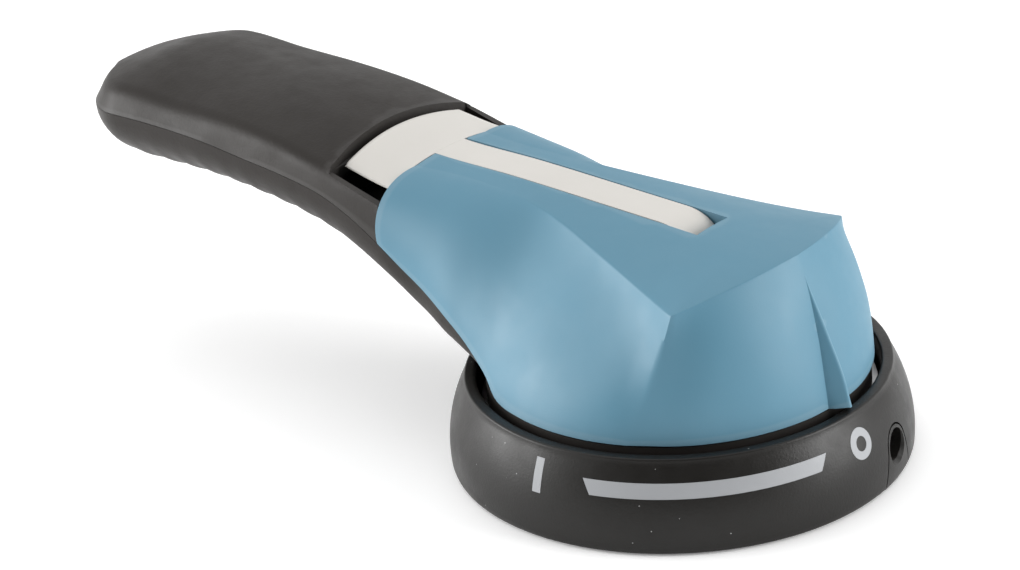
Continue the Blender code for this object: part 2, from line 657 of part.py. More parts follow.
def cover_column(ridge, handles, edge, inset, bulge=None):
    """One column of the skin, spine first; inset moves it inwards for the skin's inner face."""
    rx, ry = ridge
    column = []
    for i in range(TOP_STEPS):
        y = ry * i / TOP_STEPS
        column.append(Vector((rx, y, spine_height(rx, y) - inset)))
    top = Vector((rx, ry, spine_height(rx, ry) - inset))
    foot = Vector(edge)
    for i in range(SIDE_STEPS + 1):
        t = i / SIDE_STEPS
        if bulge:
            column.append(top.lerp(foot, t) + bulge * (4 * t * (1 - t)))
            continue
        start, end = handles
        along = (foot.x - rx) / 3
        points = (top, top + Vector((along, *start)), foot + Vector((-along, *end)), foot)
        column.append(bezier(points, t))
    return column


def cover_columns(inset):
    columns = []
    for ridge, start, end, edge in COVER_COLUMNS:
        foot = Vector(edge) - outward_at(edge) * inset
        columns.append(cover_column((ridge[0], ridge[1] - 0.75 * inset), (start, end), foot, inset))
    for (x, y), azimuth, bow in zip(FRONT_RIDGE[1:], FRONT_AZIMUTHS[1:], FRONT_BULGE):
        out = Vector(polar(1.0, azimuth, 0.0))
        foot = polar(COVER_RADIUS - inset, azimuth, COVER_EDGE_Z)
        ridge = (x - 0.95 * inset * out.x, y - 0.95 * inset * out.y)
        bulge = (out + Vector((0, 0, 0.35))) * bow
        columns.append(cover_column(ridge, None, foot, inset, bulge))
    return columns


def make_top_cover():
    """A skin with an outer and an inner face, slotted for the lever's bar, with a fin on the nose."""
    bm = bmesh.new()
    rows = []
    for outer, inner in zip(cover_columns(0.0), cover_columns(COVER_WALL)):
        loop = list(reversed(outer)) + [Vector((p.x, -p.y, p.z)) for p in outer[1:]]
        loop += [Vector((p.x, -p.y, p.z)) for p in reversed(inner)] + inner[1:]
        rows.append([bm.verts.new(point) for point in loop])
    count = len(rows[0])
    for row, after in zip(rows, rows[1:]):
        for i in range(count):
            j = (i + 1) % count
            bm.faces.new((row[i], row[j], after[j], after[i]))
    bm.faces.new(rows[0])
    bmesh.ops.remove_doubles(bm, verts=bm.verts, dist=0.002)
    bmesh.ops.triangulate(bm, faces=bm.faces)
    cover = link("top_cover", mesh_from("top_cover", bm), CUTTERS)
    join(cover, make_fin())
    cut(cover, box("slot", (-60.0, -SLOT_HALF, 37.0), (SLOT_END_X, SLOT_HALF, 60.0)))
    for x, y in COVER_SCREWS_FRONT:
        top = spine_height(x, 17.0) - 1.0
        join(cover, rod("front_boss", 3.2, (x, y, DECK_Z[1] + GAP), (x, y, top), segments=16))
        cut(cover, rod("front_boss_hole", 1.2, (x, y, 10), (x, y, 28), segments=12))
    for x, y in COVER_SCREWS_REAR:
        top = spine_height(x, y) - 1.2
        join(cover, rod("rear_boss", 3.4, (x, y, SEAT_Z[1] + GAP), (x, y, top), segments=14))
        cut(cover, rod("rear_boss_hole", 1.2, (x, y, 10), (x, y, 38), segments=12))
    return part(cover, "top_cover", "cover_blue")


def make_fin():
    """The pointer: a wedge whose apex line leaves the nose as it runs down."""
    sections = []
    for z, apex, half in FIN_STATIONS:
        flank, back = apex - half * 1.05 - 0.25, apex - 1.5 - half * 1.2
        outline = [(apex, 0), (flank, half), (back, half), (back, -half), (flank, -half)]
        sections.append([(x, y, z) for x, y in outline])
    return loft("fin", sections)


def make_screw(name, x, y, seat_z, length, head_height=1.5):
    """A slotted pan-head screw pointing up, its head's bearing face at seat_z."""
    base_z = seat_z - head_height
    stem = rod(name, SCREW_SHANK, (x, y, seat_z), (x, y, seat_z + length), segments=12)
    join(stem, rod(name + "_head", SCREW_HEAD, (x, y, base_z), (x, y, seat_z + 0.01), segments=20))
    cut(stem, box(name + "_slot", (x - 1.6, y - 0.35, base_z - 0.6), (x + 1.6, y + 0.35, base_z + 0.6)))
    return part(stem, name, "steel")


def make_screws():
    for number, (x, y) in enumerate(COVER_SCREWS_FRONT, 1):
        make_screw(f"cover_screw_{number}", x, y, DECK_Z[0] - GAP, 11.0)
    for number, (x, y) in enumerate(COVER_SCREWS_REAR, 3):
        make_screw(f"cover_screw_{number}", x, y, SEAT_Z[0] - GAP, 13.0)
    for number, x in enumerate(GRIP_SCREWS_X, 1):
        make_screw(f"grip_screw_{number}", x, 0.0, at(BELLY_Z, x) + 1.5, 12.0, head_height=1.1)


def make_pivot_pin():
    px, pz = PIVOT
    pin = rod("lever_pivot_pin", PIVOT_PIN_RADIUS, (px, -7.9, pz), (px, 7.9, pz), segments=24)
    return part(pin, "lever_pivot_pin", "steel")


def lever_head_row(x, bowed, drop):
    """A row of points across the lever's head, following the handle's crown, bowed at its rear edge."""
    half = HEAD_HALF + (x + 60.0) * 0.055
    row = []
    for i in range(HEAD_STEPS + 1):
        y = -half + 2 * half * i / HEAD_STEPS
        shift = 0.7 - 0.9 * (1 - (y / half) ** 2) if bowed else 0.0
        z = at(SPINE_Z, x) - 0.1 - y * y / (CROWN - 15.0 + (x + 48.0) * 1.5)
        row.append((x + shift, y, z - drop))
    return row


def make_lock_lever():
    """A T: a crowned head in the window, a bar in the cover's slot, and a tail that drives the bolt."""
    sections = []
    for x in (-60.0, -57.0, -54.0, -51.0, -48.4):
        bowed = x < -59.5
        sections.append(lever_head_row(x, bowed, 0.0) + lever_head_row(x, bowed, HEAD_THICK)[::-1])
    lever = loft("lock_lever", sections)
    px, pz = PIVOT
    top = [(x, at(SPINE_Z, x) - 0.35) for x in (-49.5, -40.0, -30.0, -20.0, -9.0, 1.0)]
    nose = [(4.6, 41.3), (6.6, 40.1), (7.4, 38.0), (10.0, 37.4), (22.8, 37.2), (22.8, 36.95)]
    fork = [(18.4, 36.95), (18.4, 34.05), (22.8, 34.05), (22.8, 33.6), (12.0, 33.2)]
    boss = [(px + 2.6, pz - 3.2), (px - 1.0, pz - 4.0), (px - 4.6, pz - 2.6)]
    under = [(-9.0, 37.6), (-30.0, 38.6), (-49.5, 39.4)]
    bar = prism("bar", top + nose + fork + boss + under, -BAR_HALF, BAR_HALF, plane="XZ")
    for side in (-1, 1):
        low, high = sorted((side * TAIL_HALF, side * 6.0))
        cut(bar, box("tail_side", (13.5, low, 30.0), (26.0, high, 45.0)))
    join(lever, bar)
    cut(lever, rod("lever_bore", PIVOT_PIN_RADIUS + 0.1, (px, -9, pz), (px, 9, pz), segments=24))
    return part(lever, "lock_lever", "lever_white")


def make_lock_bolt():
    bolt = rod("lock_bolt", BOLT_RADIUS, (BOLT_X, 0, BOLT_TIP_Z), (BOLT_X, 0, 32.0), segments=28)
    join(bolt, rod("bolt_collar", 5.0, (BOLT_X, 0, 30.6), (BOLT_X, 0, 32.4), segments=28))
    join(bolt, rod("bolt_fork", 4.2, (BOLT_X, 0, 32.2), (BOLT_X, 0, 37.6), segments=28))
    cut(bolt, box("fork_slot", (BOLT_X - 6, -2.3, 32.5), (BOLT_X + 6, 2.3, 40.0)))
    hole = BOLT_PIN_RADIUS + GAP
    cut(bolt, rod("fork_hole", hole, (BOLT_X, -6, BOLT_PIN_Z), (BOLT_X, 6, BOLT_PIN_Z), segments=16))
    part(bolt, "lock_bolt", "steel")
    ends = [(BOLT_X, y, BOLT_PIN_Z) for y in (-4.1, 4.1)]
    part(rod("bolt_pin", BOLT_PIN_RADIUS, *ends, segments=20), "bolt_pin", "steel")
    bore = BOLT_RADIUS + 0.1
    flange = [(5.3, 22.6), (5.3, 21.3), (4.3, 21.3), (4.3, 14.2)]
    bush = turned("bolt_bush", flange + [(bore, 14.2), (bore, 22.6)], segments=28)
    bush.location = (BOLT_X * MM, 0, 0)
    part(bush, "bolt_bush", "brass")
    spring = coil("bolt_spring", 3.95, 0.5, 22.9, 30.3, 3, (BOLT_X, 0), PARTS)
    part(spring, "bolt_spring", "steel")


clear_scene()
PARTS = collection("transfer_switch_handle")
CUTTERS = collection("cutters")
make_base_ring()
make_port_insert()
make_gasket()
make_inserts()
make_lock_plate()
make_interlock_slide()
make_shaft_socket()
make_seals_and_rings()
make_handle_body()
make_grip_lower()
make_top_cover()
make_screws()
make_pivot_pin()
make_lock_lever()
make_lock_bolt()
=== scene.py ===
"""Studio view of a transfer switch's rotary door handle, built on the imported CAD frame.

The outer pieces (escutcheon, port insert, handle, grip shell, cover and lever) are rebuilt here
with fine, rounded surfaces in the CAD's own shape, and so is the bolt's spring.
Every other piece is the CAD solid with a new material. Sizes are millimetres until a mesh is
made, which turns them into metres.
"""

import json
import math

import bmesh
import bpy
import numpy as np
from mathutils import Matrix, Vector


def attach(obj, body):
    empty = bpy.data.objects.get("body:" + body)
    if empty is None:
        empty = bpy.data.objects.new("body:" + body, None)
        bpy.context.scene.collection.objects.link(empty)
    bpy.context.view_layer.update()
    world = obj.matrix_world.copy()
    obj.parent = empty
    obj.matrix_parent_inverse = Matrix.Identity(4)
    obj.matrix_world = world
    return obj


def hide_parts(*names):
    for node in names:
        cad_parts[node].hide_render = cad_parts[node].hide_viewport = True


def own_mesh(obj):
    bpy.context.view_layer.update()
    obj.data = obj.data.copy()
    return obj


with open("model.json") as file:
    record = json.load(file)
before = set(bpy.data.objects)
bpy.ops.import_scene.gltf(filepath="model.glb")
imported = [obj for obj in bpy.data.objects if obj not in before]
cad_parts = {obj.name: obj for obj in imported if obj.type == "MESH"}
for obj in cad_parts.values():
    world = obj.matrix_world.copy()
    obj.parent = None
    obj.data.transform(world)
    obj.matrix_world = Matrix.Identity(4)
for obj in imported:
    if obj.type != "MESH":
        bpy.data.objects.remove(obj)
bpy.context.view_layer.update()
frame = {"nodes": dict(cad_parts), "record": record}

MM = 0.001
GAP = 0.3
SEAM_GAP = 0.1                # hairline between the grip's two shells

# Escutcheon.
RING_HEIGHT = 15.4
RING_RADIUS = 39.35
RING_WIDEST_Z = 2.6
RING_WALL_ARC = 24.0
RING_BORE = 34.0
PORT_ANGLE = 13.2
PORT_Z = 6.1
PORT_RADIUS = 2.75
PILLAR_CIRCLE = 30.0
PILLAR_ANGLES = (73.0, 193.0, 313.0)
INSERT_PLACES = ((14.0, 14.0), (-14.0, 14.0), (-14.0, -14.0), (14.0, -14.0))
RING_WALL_TOP_Z = 14.6
RING_WALL_LOW_Z = 0.7
RING_LIP_RADIUS = 0.95
RING_FOOT_RADIUS = 0.4
RING_UNDER = (                # the underside's section, (radius, z) from the gasket's groove inwards
    (32.8, 1.7), (29.2, 1.7), (29.2, 0.0), (16.2, 0.0), (16.2, 2.1), (13.2, 2.1), (13.2, 6.0),
    (25.0, 6.0), (25.8, 3.0), (RING_BORE, 3.0),
)
PORT_TOP_Z = 11.0             # of the slice of wall that the port's insert is cut from
PORT_FOOT = (5.2, -1.0)       # half-width and height at the arch's foot
PORT_HEAD_RADIUS = 3.3
PORT_MOUTH_DEPTH = 0.45
PORT_MOUTH_FLARE = 1.1

# Handle.
DRUM_RADIUS = 32.4
HUB_RADIUS = 12.9
COVER_RADIUS = 32.9
COVER_EDGE_Z = 16.05
COVER_WALL = 1.8
SHELL_WALL = 2.4
GRIP_CROWN = 130.0
TIP_CENTRE_X = -113.2
TIP_LENGTH = 13.2
TIP_SEAM_LENGTH = 15.6
TIP_BLUNTNESS = 0.62          # the crease keeps at least this share of the seam's width
TIP_DEPTH = 0.35              # share of the belly's depth left at the very tip
CREASE_START = 0.88           # share of the crown's width where the crease begins to round
CREASE_REACH = 2.2            # how far the rounding runs down the side
GRIP_SQUARENESS = 2.15        # exponent of the underside's section
ARM_SQUARENESS_GAIN = 0.75    # added to it towards the drum
CHANNEL_HALF = 17.2
POCKET_HALF = 15.2
HEAD_ROOM_HALF = 17.7
HEAD_ROOM_Z = 37.4
POCKET_FLOOR_Z = 35.5
RIM_X = -59.9
PIVOT = (3.0, 36.0)
BAR_HALF = 3.8
SLOT_HALF = 4.1
SLOT_END_X = 8.9
BOLT_X = 20.0
COVER_SCREWS = ((8.0, 14.0), (8.0, -14.0), (-38.0, 9.0), (-38.0, -9.0))
GRIP_SCREWS_X = (-76.0, -106.0)
SCALLOP_PITCH = 6.0
SCALLOP_DEPTH = 0.2

# The drum's section, as (radius, z): down the rim, under the floor, round the hub and up the bore.
DRUM_SECTION = (
    (DRUM_RADIUS, 15.6), (DRUM_RADIUS, 11.4), (30.2, 11.4), (30.2, 14.0), (HUB_RADIUS, 14.0),
    (HUB_RADIUS, 5.2), (11.0, 5.2), (11.0, 2.8), (HUB_RADIUS, 2.8), (HUB_RADIUS, 2.0),
    (11.3, 2.0), (11.3, 0.35), (9.4, 0.35), (9.4, 17.0), (30.4, 17.0), (30.4, 15.6),
)

# Side views, as (x, z), of the channel that carries the lever and of the pocket cut into it.
CHANNEL_SIDE = (
    (-65.0, 32.6), (-47.0, 32.0), (-33.0, 21.4), (-28.0, 16.6), (-18.0, 14.6), (-18.0, 24.0),
    (-30.0, 30.0), (-40.0, 34.6), (-47.0, 38.4), (-53.0, 40.6), (-60.0, 42.6), (-65.0, 44.0),
)
POCKET_SIDE = (
    (-63.4, POCKET_FLOOR_Z), (-46.0, POCKET_FLOOR_Z - 0.5), (-31.5, 24.6), (-25.0, 17.6),
    (-10.0, 17.0), (-10.0, 60.0), (-63.4, 60.0),
)
EAR_ARCH = ((15.0, 16.5), (12.4, 16.5), (12.4, 20.4), (-12.4, 20.4), (-12.4, 16.5), (-16.0, 16.5))

# Where the inner lofts have their sections.
GRIP_HOLLOW_X = (-119.0, -113.0, -100.0, -82.0, -70.0, -66.0)
WALL_HOLLOW_X = (-62.0, -56.0, -52.0, -47.5)
CHANNEL_X = (-119.0, -100.0, -88.0, -78.0, -69.0, -61.0, -53.0, -46.0, -39.0, -33.0, -28.0, -19.5)
SHELL_HOLLOW_X = (-119.0, -113.0, *CHANNEL_X[1:])

# Heights and half-widths along the handle, as (x, value) design points.
SPINE_Z = ((-129.0, 46.8), (-122.0, 49.0), (-114.0, 50.6), (-100.0, 50.0), (-85.0, 49.5), (-72.0, 48.3),
           (-60.0, 46.3), (-49.0, 44.4), (-30.0, 43.9), (-9.0, 42.9), (9.0, 41.95), (26.0, 40.6))
COVER_CROWN = ((-48.0, 130.0), (-30.0, 120.0), (-18.0, 104.0), (-9.0, 87.0), (2.0, 88.0), (9.0, 99.0),
               (15.0, 114.0), (18.1, 130.0), (26.0, 130.0))
CREASE_HALF = ((-116.0, 17.8), (-90.0, 17.4), (-60.0, 18.8), (-47.0, 18.8))
SEAM_HALF = ((-116.0, 20.0), (-90.0, 19.6), (-70.0, 19.6), (-48.0, 20.2), (-39.8, 20.3), (-32.4, 22.2),
             (-24.0, 24.5), (-19.5, 26.2), (-15.0, 28.9))
SEAM_Z = ((-124.0, 43.6), (-108.0, 43.9), (-92.0, 43.2), (-80.0, 41.8), (-71.0, 40.8), (-61.6, 39.2),
          (-54.4, 36.5), (-48.0, 33.0), (-44.5, 30.6), (-39.8, 28.4), (-32.4, 25.0), (-28.5, 22.9),
          (-24.0, 20.8), (-19.5, 18.2), (-15.0, 16.0))
BELLY_Z = ((-124.0, 33.0), (-114.0, 31.4), (-95.0, 31.2), (-82.0, 30.3), (-70.0, 28.4), (-60.0, 25.4),
           (-50.0, 20.7), (-42.0, 17.1), (-36.0, 15.9), (-31.0, 15.8), (-20.0, 15.8))
WALL_TOP_Z = ((-61.5, 43.4), (-52.6, 40.9), (-47.0, 39.4))

# The cover's columns: ridge (x, y), Bezier handles (dy, dz) at ridge and foot, foot (x, y, z).
COVER_COLUMNS = (
    ((-48.0, 9.0), (8.2, 0.5), (1.1, 6.0), (-48.0, 20.4, 33.3)),
    ((-42.0, 8.2), (8.4, 0.5), (1.0, 8.6), (-43.2, 20.4, 30.1)),
    ((-36.0, 8.0), (8.1, 0.4), (0.3, 9.4), (-37.3, 21.2, 27.3)),
    ((-30.0, 8.3), (7.4, 0.0), (-0.8, 9.6), (-31.4, 22.8, 24.7)),
    ((-24.5, 9.0), (6.3, -1.5), (-1.7, 9.2), (-26.0, 24.1, 21.8)),
    ((-18.5, 10.1), (4.7, -5.0), (-2.2, 9.6), (-20.0, 26.4, 18.6)),
    ((-12.0, 11.9), (4.6, -6.2), (-2.0, 10.0), (-14.8, 29.38, 16.05)),
    ((-6.0, 14.1), (4.2, -6.4), (-1.6, 9.6), (-8.0, 31.91, 16.05)),
    ((0.0, 16.1), (3.8, -6.4), (-1.2, 9.0), (-1.0, 32.88, 16.05)),
    ((6.0, 18.4), (3.0, -6.4), (-0.9, 8.4), (5.5, 32.44, 16.05)),
    ((12.5, 20.9), (2.0, -6.4), (-0.9, 7.6), (10.4, 31.21, 16.05)),
    ((18.1, 23.2), (1.0, -6.8), (-2.2, 5.6), (13.3, 30.09, 16.05)),
)

# The columns of the front, from the corner to the middle: ridge (x, y), azimuth, bulge.
FRONT_RIDGE = ((20.9, 18.6), (23.0, 13.6), (24.6, 8.8), (25.5, 4.2), (25.9, 0.0))
FRONT_AZIMUTHS = (51.0, 37.5, 24.5, 12.0, 0.0)
FRONT_BULGE = (1.6, 1.6, 1.5, 1.1, 0.55)
FRONT_BULGE_RISE = 0.35
TOP_STEPS, SIDE_STEPS = 16, 44
ROWS_PER_COLUMN, ROWS_PER_FRONT = 7, 8
FAIRING_ROUNDS = 40
FAIRING_FADE = 0.3            # share of a column over which the fairing fades to the lower edge
CREASE_AZIMUTH = 62.0         # the way the front corner's crease stands out
CREASE_RISE = 0.4
CREASE_ROWS = 6

# The pointer fin: its apex as (height, x), and its half-width at the cover's lower edge.
FIN_APEX = ((COVER_EDGE_Z, 35.5), (21.5, 34.0), (27.0, 31.7), (31.0, 29.95), (35.0, 28.1), (39.6, 26.2))
FIN_TOP_Z = 39.6
FIN_POINT_Z = 39.75
FIN_HALF = 2.7

# Locking lever: the head's ends, half-width and thickness, and the bar's side view as (x, z).
HEAD_X = (-60.2, -48.4)
HEAD_HALF = 14.9
HEAD_THICK = 2.2
HEAD_THIN_BY = 1.5            # towards the head's side edges
HEAD_SINK = 0.1               # below the handle's spine line
BAR_SINK = 0.12
BAR_X = (-50.0, 6.1)
BAR_NOSE = (
    (2.0, 41.9), (3.4, 41.72), (5.0, 41.1), (6.1, 40.3), (6.8, 39.3), (7.4, 38.0), (10.0, 37.4),
    (22.8, 37.2), (22.8, 36.95), (18.4, 36.95), (18.4, 34.05), (22.8, 34.05), (22.8, 33.6), (12.0, 33.2),
)
BAR_UNDER = (
    (PIVOT[0] + 2.6, PIVOT[1] - 3.2), (PIVOT[0] - 1.0, PIVOT[1] - 4.0),
    (PIVOT[0] - 4.6, PIVOT[1] - 2.6), (-9.0, 37.6), (-30.0, 38.6), (-49.5, 39.4),
)

# Bolt spring: mean radius, wire, ends, open turns, and how far the bolt presses it.
SPRING_RADIUS = 3.95
SPRING_WIRE = 0.5
SPRING_LOW = 22.9
SPRING_HIGH = 30.3
SPRING_TURNS = 3

# Printed marks on the escutcheon's wall: azimuths in degrees, heights in millimetres.
MARK_ON = (-88.6, 1.6, 8.0, 13.4)         # azimuth, width, low, high
MARK_OFF = (-1.6, 10.6, 1.2, 2.5)         # azimuth, middle height, inner and outer radius
MARK_BAND = ((-76.0, -13.4, 11.9), (-74.0, -15.8, 9.5))   # from, to and height of its two edges
MARK_LIFT = 0.035
MARK_DEPTH = 0.08

# Camera and light.
CAMERA_PLACE = (0.2914, -0.3557, 0.2392)
CAMERA_AZIMUTH = 42.698
CAMERA_ELEVATION = 24.346
CAMERA_ROLL = -4.629
CAMERA_LENS = 107.21
LIGHTS = (                    # name, place, target, size, watts
    ("left_box", (-0.82, -0.58, 0.26), (-0.02, 0.0, 0.02), (0.7, 0.6), 9.2),
    ("right_box", (0.85, 0.40, 0.25), (0.0, 0.0, 0.02), (0.5, 0.7), 8.4),
    ("top_box", (-0.10, 0.10, 1.00), (-0.02, 0.0, 0.03), (1.0, 1.0), 1.4),
)
WORLD_BRIGHT = 0.95           # the white room behind and beside the object
WORLD_DARK = 0.12             # the room in front of it
DARK_SIDE = (0.76, -0.62, 0.14)
DARK_RANGE = (0.15, 0.85)     # cosines between which the white turns dark
PAPER_GLOW = 0.18

FINISHES = {
    "ring_plastic": ((0.008, 0.0071, 0.0060), 0.40, {
        "grain": 2300.0, "grain_height": 0.06, "mottle": 0.12, "specks": 0.8, "wear": 0.05,
        "specular": 0.34}),
    "grip_plastic": ((0.013, 0.0098, 0.0075), 0.48, {
        "grain": 1500.0, "grain_height": 0.07, "mottle": 0.10, "rough_spread": 0.06, "wear": 0.05,
        "specular": 0.30}),
    "cover_plastic": ((0.085, 0.225, 0.315), 0.50, {
        "grain": 3200.0, "grain_height": 0.02, "mottle": 0.03, "rough_spread": 0.05, "wear": 0.10}),
    "lever_plastic": ((0.60, 0.58, 0.545), 0.42, {
        "grain": 3200.0, "grain_height": 0.015, "mottle": 0.02, "rough_spread": 0.06, "wear": 0.04}),
    "seal_rubber": ((0.022, 0.022, 0.022), 0.75, {
        "grain": 1800.0, "grain_height": 0.06, "mottle": 0.2}),
    "steel": ((0.56, 0.57, 0.58), 0.34, {
        "metallic": 1.0, "grain": 5000.0, "grain_height": 0.012, "mottle": 0.10, "wear": 0.2,
        "brushed": True}),
    "brass": ((0.72, 0.52, 0.25), 0.32, {
        "metallic": 1.0, "grain": 4000.0, "grain_height": 0.01, "mottle": 0.12, "wear": 0.2,
        "brushed": True}),
    "zinc": ((0.47, 0.48, 0.50), 0.46, {
        "metallic": 1.0, "grain": 1200.0, "grain_height": 0.05, "mottle": 0.12}),
    "mark_print": ((0.34, 0.35, 0.365), 0.5, {
        "grain": 2600.0, "grain_height": 0.015, "mottle": 0.04, "wear": 0.0}),
}
CLOUD_SCALE = 55.0            # noise scales are per metre
GLOSS_SCALE = 190.0
NOISE_RANGE = (0.25, 0.75)    # the part of the noise's values that is spread out
EDGE_RANGE = (0.53, 0.62)     # pointiness from plain to fully worn
BRUSHING = (1.0, 1.0, 0.06)
SPECK_SCALE = 430.0
SPECK_SIZE = 0.045
SPECK_TONE = 0.50             # cells with a higher random tone hold a speck
SPECK_COLOUR = (0.42, 0.42, 0.42, 1.0)


def at(table, x):
    """Smooth value at x through a short table of (x, value) design points."""
    if x <= table[0][0]:
        return table[0][1]
    if x >= table[-1][0]:
        return table[-1][1]
    for i in range(len(table) - 1):
        if x <= table[i + 1][0]:
            break
    x0, y0 = table[i]
    x1, y1 = table[i + 1]
    before = table[max(i - 1, 0)]
    after = table[min(i + 2, len(table) - 1)]
    slope0 = (y1 - before[1]) / (x1 - before[0])
    slope1 = (after[1] - y0) / (after[0] - x0)
    span = x1 - x0
    t = (x - x0) / span
    return (
        y0 * (2 * t**3 - 3 * t**2 + 1) + slope0 * span * (t**3 - 2 * t**2 + t)
        + y1 * (3 * t**2 - 2 * t**3) + slope1 * span * (t**3 - t**2)
    )


def polar(radius, degrees, z):
    angle = math.radians(degrees)
    return (radius * math.cos(angle), radius * math.sin(angle), z)


# Meshes. Helpers that only cut or join are removed once the result is taken.

HELPERS = []


def made(name, bm, helper=True):
    bmesh.ops.recalc_face_normals(bm, faces=bm.faces)
    bmesh.ops.scale(bm, vec=(MM, MM, MM), verts=bm.verts)
    mesh = bpy.data.meshes.new(name)
    bm.to_mesh(mesh)
    bm.free()
    obj = bpy.data.objects.new(name, mesh)
    bpy.context.scene.collection.objects.link(obj)
    if helper:
        HELPERS.append(obj)
    return obj


def box(name, low, high):
    bm = bmesh.new()
    bmesh.ops.create_cube(bm, size=1.0)
    bmesh.ops.scale(bm, vec=[h - l for l, h in zip(low, high)], verts=bm.verts)
    bmesh.ops.translate(bm, vec=[(h + l) / 2 for l, h in zip(low, high)], verts=bm.verts)
    return made(name, bm)


def rod(name, radius, start, end, segments=48, end_radius=None):
    start, end = Vector(start), Vector(end)
    bm = bmesh.new()
    bmesh.ops.create_cone(
        bm, cap_ends=True, segments=segments, radius1=radius,
        radius2=radius if end_radius is None else end_radius, depth=(end - start).length,
    )
    turn = (end - start).to_track_quat("Z", "Y").to_matrix().to_4x4()
    bmesh.ops.transform(bm, matrix=Matrix.Translation((start + end) / 2) @ turn, verts=bm.verts)
    return made(name, bm)


def prism(name, outline, low, high):
    """A flat outline in the XZ plane, from low to high along Y."""
    bm = bmesh.new()
    face = bm.faces.new([bm.verts.new((x, low, z)) for x, z in outline])
    grown = bmesh.ops.extrude_face_region(bm, geom=[face])["geom"]
    moved = [item for item in grown if isinstance(item, bmesh.types.BMVert)]
    bmesh.ops.translate(bm, vec=(0, high - low, 0), verts=moved)
    return made(name, bm)


def turned(name, profile, segments=192):
    """A closed profile of (radius, z) points swept round the Z axis."""
    bm = bmesh.new()
    verts = [bm.verts.new((r, 0, z)) for r, z in profile]
    edges = [bm.edges.new(pair) for pair in zip(verts, verts[1:] + verts[:1])]
    bmesh.ops.spin(
        bm, geom=verts + edges, cent=(0, 0, 0), axis=(0, 0, 1), angle=math.tau, steps=segments,
        use_merge=True,
    )
    bmesh.ops.remove_doubles(bm, verts=bm.verts, dist=0.001)
    return made(name, bm)


def loft(name, sections, cap_last=True):
    """A closed solid through rings of equal point counts, capped at its ends."""
    bm = bmesh.new()
    rows = [[bm.verts.new(point) for point in section] for section in sections]
    count = len(rows[0])
    for row, after in zip(rows, rows[1:]):
        for i in range(count):
            j = (i + 1) % count
            bm.faces.new((row[i], row[j], after[j], after[i]))
    bm.faces.new(rows[0])
    if cap_last:
        bm.faces.new(rows[-1])
    bmesh.ops.remove_doubles(bm, verts=bm.verts, dist=0.002)
    bmesh.ops.triangulate(bm, faces=bm.faces)
    return made(name, bm)


def combine(target, other, operation):
    modifier = target.modifiers.new(other.name, "BOOLEAN")
    modifier.operation = operation
    modifier.solver = "EXACT"
    modifier.object = other


def cut(target, *others):
    for other in others:
        combine(target, other, "DIFFERENCE")
    return target


def join(target, *others):
    for other in others:
        combine(target, other, "UNION")
    return target


def solid(name, target, soften=0.0, sharp_angle=32.0, limit=38.0):
    """The finished piece: modifiers applied, edges softened, shaded smooth."""
    graph = bpy.context.evaluated_depsgraph_get()
    mesh = bpy.data.meshes.new_from_object(target.evaluated_get(graph), depsgraph=graph)
    mesh.name = name
    piece = bpy.data.objects.new(name, mesh)
    bpy.context.scene.collection.objects.link(piece)
    bm = bmesh.new()
    bm.from_mesh(mesh)
    bmesh.ops.remove_doubles(bm, verts=bm.verts, dist=0.002 * MM)
    bmesh.ops.dissolve_degenerate(bm, edges=bm.edges, dist=0.001 * MM)
    bm.to_mesh(mesh)
    bm.free()
    mesh.shade_smooth()
    mesh.set_sharp_from_angle(angle=math.radians(sharp_angle))
    if soften:
        bevel = piece.modifiers.new("soft_edges", "BEVEL")
        bevel.width = soften * MM
        bevel.segments = 3
        bevel.limit_method = "ANGLE"
        bevel.angle_limit = math.radians(limit)
        bevel.use_clamp_overlap = True
        bevel.harden_normals = True
    return piece


def drop_helpers():
    for obj in HELPERS:
        bpy.data.objects.remove(obj, do_unlink=True)
    HELPERS.clear()


# Materials.

def node(tree, kind, x, y, **inputs):
    made_node = tree.nodes.new(kind)
    made_node.location = (x, y)
    for name, value in inputs.items():
        made_node.inputs[name.replace("_", " ")].default_value = value
    return made_node


def mix_colour(tree, x, y, factor, first, second, blend="MIX"):
    """Colour mix; factor, first and second are each a socket to link or a plain value."""
    mixer = tree.nodes.new("ShaderNodeMix")
    mixer.location = (x, y)
    mixer.data_type = "RGBA"
    mixer.blend_type = blend
    for index, value in ((0, factor), (6, first), (7, second)):
        if isinstance(value, bpy.types.NodeSocket):
            tree.links.new(value, mixer.inputs[index])
        else:
            mixer.inputs[index].default_value = value
    return mixer.outputs[2]


